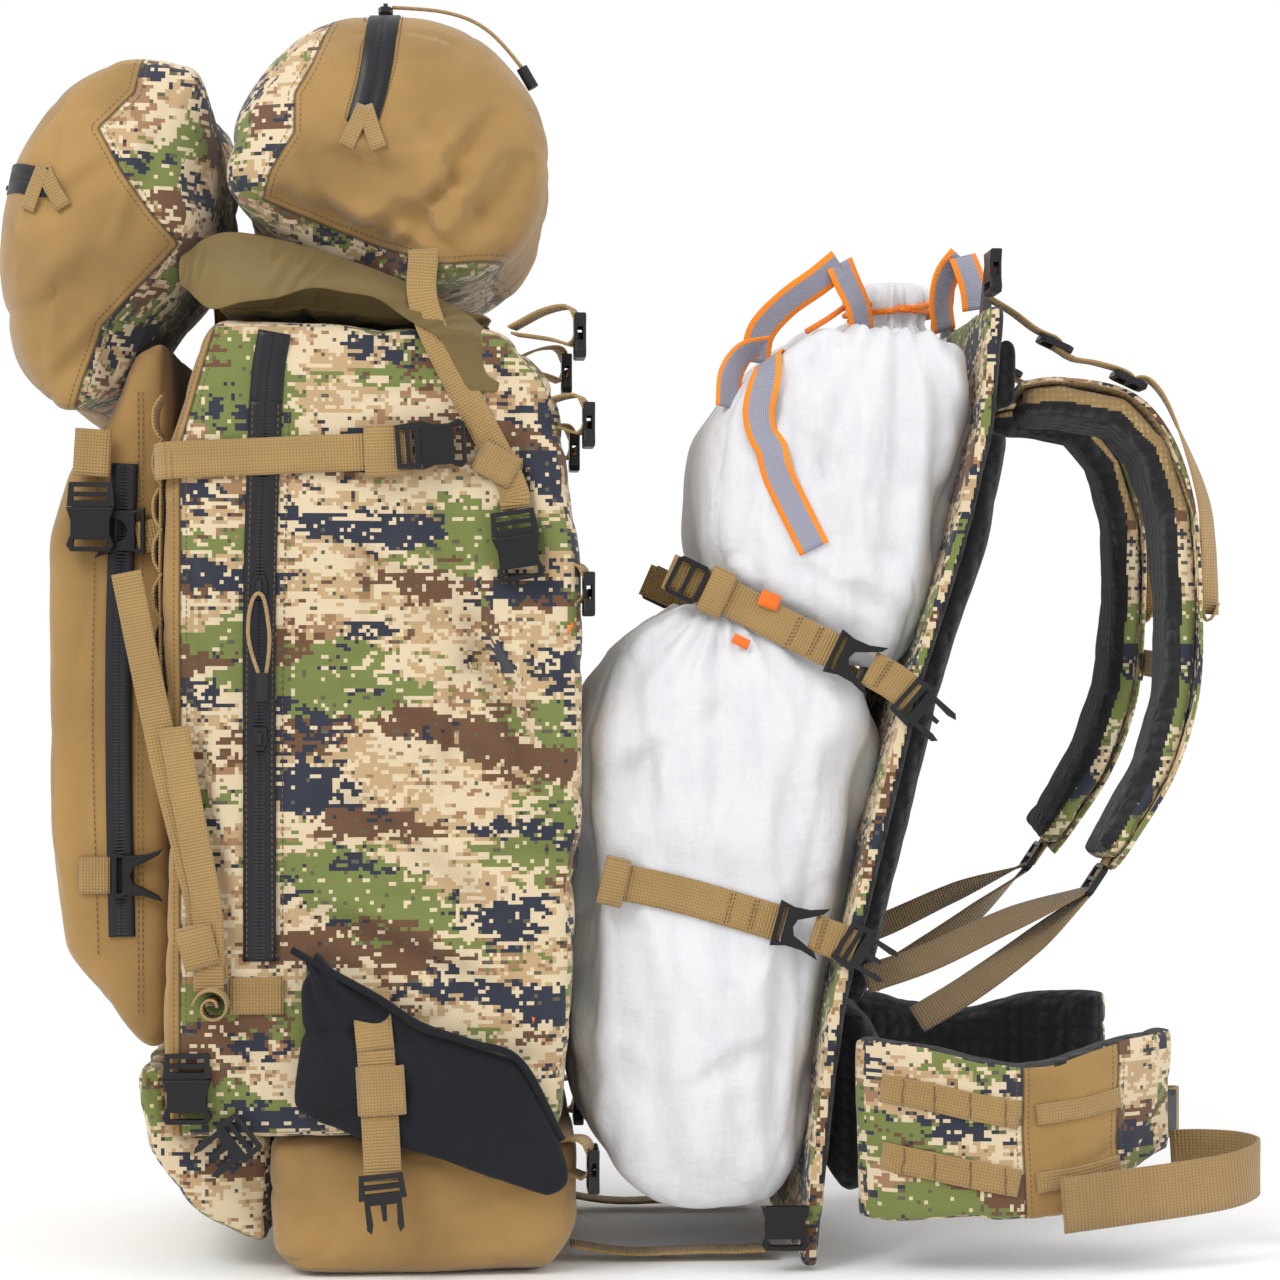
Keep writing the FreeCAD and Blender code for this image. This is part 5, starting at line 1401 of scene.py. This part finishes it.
strands = [
    ribbon_mesh([(156, -124, 196), (200, -124, 211), (255, -123, 236), (312, -122, 258)],
                [(-0.3, 0.25, 0.9), (-0.3, 0.3, 0.9), (-0.2, 0.6, 0.7), (0, 1, 0)], 20),
    ribbon_mesh([(192, -124, 168), (230, -124, 191), (272, -123, 221), (311, -122, 254)],
                [(-0.5, 0.25, 0.8), (-0.5, 0.3, 0.8), (-0.3, 0.6, 0.6), (0, 1, 0)], 20),
]
both("harness_strands", strands, "pack", GREY_WEBBING, "webbing")

# Sternum strap ---------------------------------------------------------------------------------

chest = [ribbon_mesh([(394, -86, 413), (393, -40, 412), (394, -14, 413)], FLAT, 20),
         ribbon_mesh([(394, 86, 413), (393, 40, 412), (394, 14, 413)], FLAT, 20)]
finished("chest_straps", merged(chest), "sternum_strap", WEBBING, "webbing",
         ["sternum_webbing"])

# Belt ------------------------------------------------------------------------------------------

WING_PANEL = [(334, -20), (324, 90), (332, 400), (262, 400), (256, 100), (262, -20)]


def wing_outside(centre, normal):
    """Picks a belt wing's faces that turn to the wearer, or upwards."""
    away = centre - np.array((250, 0, 98))
    away[:, 2] = 0
    away /= np.linalg.norm(away, axis=1)[:, None]
    return (np.sum(away * normal, axis=1) < 0.15) | (normal[:, 2] > 0.72)


def tapered(places):
    """The belt wing's lower edge sweeps up towards the buckle, and its top dips in the middle."""
    share = np.clip((places[:, 0] / MM - 275) / 95, 0, 1)
    rise = 40 * share * share * (3 - 2 * share) * (162 - places[:, 2] / MM) / 128
    dip = 14 * np.exp(-(((places[:, 0] / MM - 262) / 45) ** 2)) * (places[:, 2] / MM - 34) / 128
    places = places.copy()
    places[:, 2] += (rise - dip) * MM
    return places


for side in ("near", "far"):
    wing = soft_piece(f"wing_{side}", [f"belt_wing_{side}"], f"belt_wing_{side}", CAMO_BAG,
                      "camo_fabric", 5, 6, crumple(1.6, 0.05, (1.2, 1, 1), 161), (3.0, 0.006),
                      warp=tapered, panel=WING_PANEL)
    second_look(wing, MESH, wing_outside)
    if side == "near":
        wing_tree = tree_of(wing)
rows = []
for z in (128, 82):
    rows.append(surface_ribbon(wing_tree, [(160, -170, z), (190, -178, z - 5), (228, -184, z - 13),
                                           (254, -182, z - 18)], 19, 1.8, 1.4))
    rows.append(surface_ribbon(wing_tree, [(266, -180, z - 18), (296, -172, z - 15),
                                           (326, -158, z - 9)], 14, 1.6, 1.2))
both("belt_rows", rows, "belt_wing_near", WEBBING, "webbing", (), "belt_wing_far")
bars = []
for z in (128, 82):
    for x in (172, 196, 220, 244):
        slope = (x - 160) * 0.19
        at = on_surface(wing_tree, [(x, -185, z + 9 - slope), (x, -185, z - 9 - slope)],
                        2.6, 2.4)[0]
        bars.append(stitch_mesh(at, (0, -1, 0), 2.4, 2.2, 1.1))
both("belt_tacks", bars, "belt_wing_near", THREAD, "webbing", (), "belt_wing_far")
belt = [ribbon_mesh([(376, -92, 67), (395, -96, 68), (418, -106, 68), (429, -126, 67),
                     (420, -146, 64), (395, -160, 60), (340, -174, 55), (282, -186, 50)], FLAT, 38,
                    2.2, 0.5, 10)]
both("belt_tails", belt, "belt_wing_near", BELT_WEBBING, "belt_webbing", ["belt_webbing_near"],
     "belt_wing_far", ["belt_webbing_far"])

# Side pocket straps: the plug is kept from its solid, the webbing is made again ----------------


def plug_of(node):
    """A strap node's moulded parts, without its flat webbing."""
    return [solid for solid in parts_of(node) if np.ptp(coords(solid)[:, 1]) > 0.003]


hang = [ribbon_mesh([(-173, -186.8, 71), (-175, -187.6, 110), (-178, -186.8, 159)],
                    [(1, 0, 0.06)] * 3, 25, 1.8, 0.3, 12),
        keeper(-174.5, -187, 131, 33, 30, 93, 5.0)]
both("hanging_straps", hang, "pocket_strap_near", WEBBING, "webbing", ["pocket_strap_near"],
     "pocket_strap_far", ["pocket_strap_far"])
for side in ("near", "far"):
    finished(f"hanging_plug_{side}", merged(plug_of(f"pocket_strap_{side}")),
             f"pocket_strap_{side}", PLASTIC, "buckle_plastic", smooth=False)
both("strap_roots", ribbon_mesh([(-178, -187.4, 158), (-179.5, -186, 172), (-181, -176, 186),
                                 (-182, -166.5, 196)], (1, 0, 0.08), 25), "pack", WEBBING,
     "webbing")

# Floor and light -------------------------------------------------------------------------------

floor_look = Look("floor", 0.6, 0.0, 0.2)
floor_look.colour(floor_look.mix(floor_look.noise(floor_look.spot(), 3),
                                 (0.95, 0.95, 0.95, 1), (0.97, 0.97, 0.97, 1)))
away = floor_look.node("ShaderNodeVectorMath", out=1, settings={"operation": "LENGTH"},
                       i0=floor_look.spot())
soft_edge = floor_look.tree.nodes.new("ShaderNodeMixShader")
floor_look.feed(soft_edge.inputs[0], floor_look.step(away, 0.75, 2.4))
floor_look.feed(soft_edge.inputs[1], floor_look.shader.outputs[0])
floor_look.feed(soft_edge.inputs[2], floor_look.node("ShaderNodeBsdfTransparent"))
floor_look.feed(floor_look.tree.nodes["Material Output"].inputs["Surface"], soft_edge.outputs[0])
floor_mesh = bpy.data.meshes.new("floor")
floor_mesh.from_pydata([(-40, -40, 0), (40, -40, 0), (40, 40, 0), (-40, 40, 0)], [], [(0, 1, 2, 3)])
floor_mesh.materials.append(floor_look.material)
floor = bpy.data.objects.new("floor", floor_mesh)
scene.collection.objects.link(floor)

world = bpy.data.worlds.new("studio")
world.use_nodes = True
world.node_tree.nodes["Background"].inputs["Color"].default_value = (1.0, 1.0, 1.0, 1)
world.node_tree.nodes["Background"].inputs["Strength"].default_value = 1.0
scene.world = world
scene.view_settings.view_transform = "Standard"


def softbox(name, place, target, size, power):
    data = bpy.data.lights.new(name, "AREA")
    data.shape = "SQUARE"
    data.size = size
    data.energy = power
    light = bpy.data.objects.new(name, data)
    scene.collection.objects.link(light)
    light.location = place
    light.rotation_mode = "QUATERNION"
    light.rotation_quaternion = (Vector(target) - Vector(place)).to_track_quat("-Z", "Y")


softbox("key", (-1.6, -2.0, 2.4), (0, 0, 0.45), 1.2, 46)
softbox("side", (2.4, -0.9, 1.3), (0, 0, 0.4), 1.2, 16)
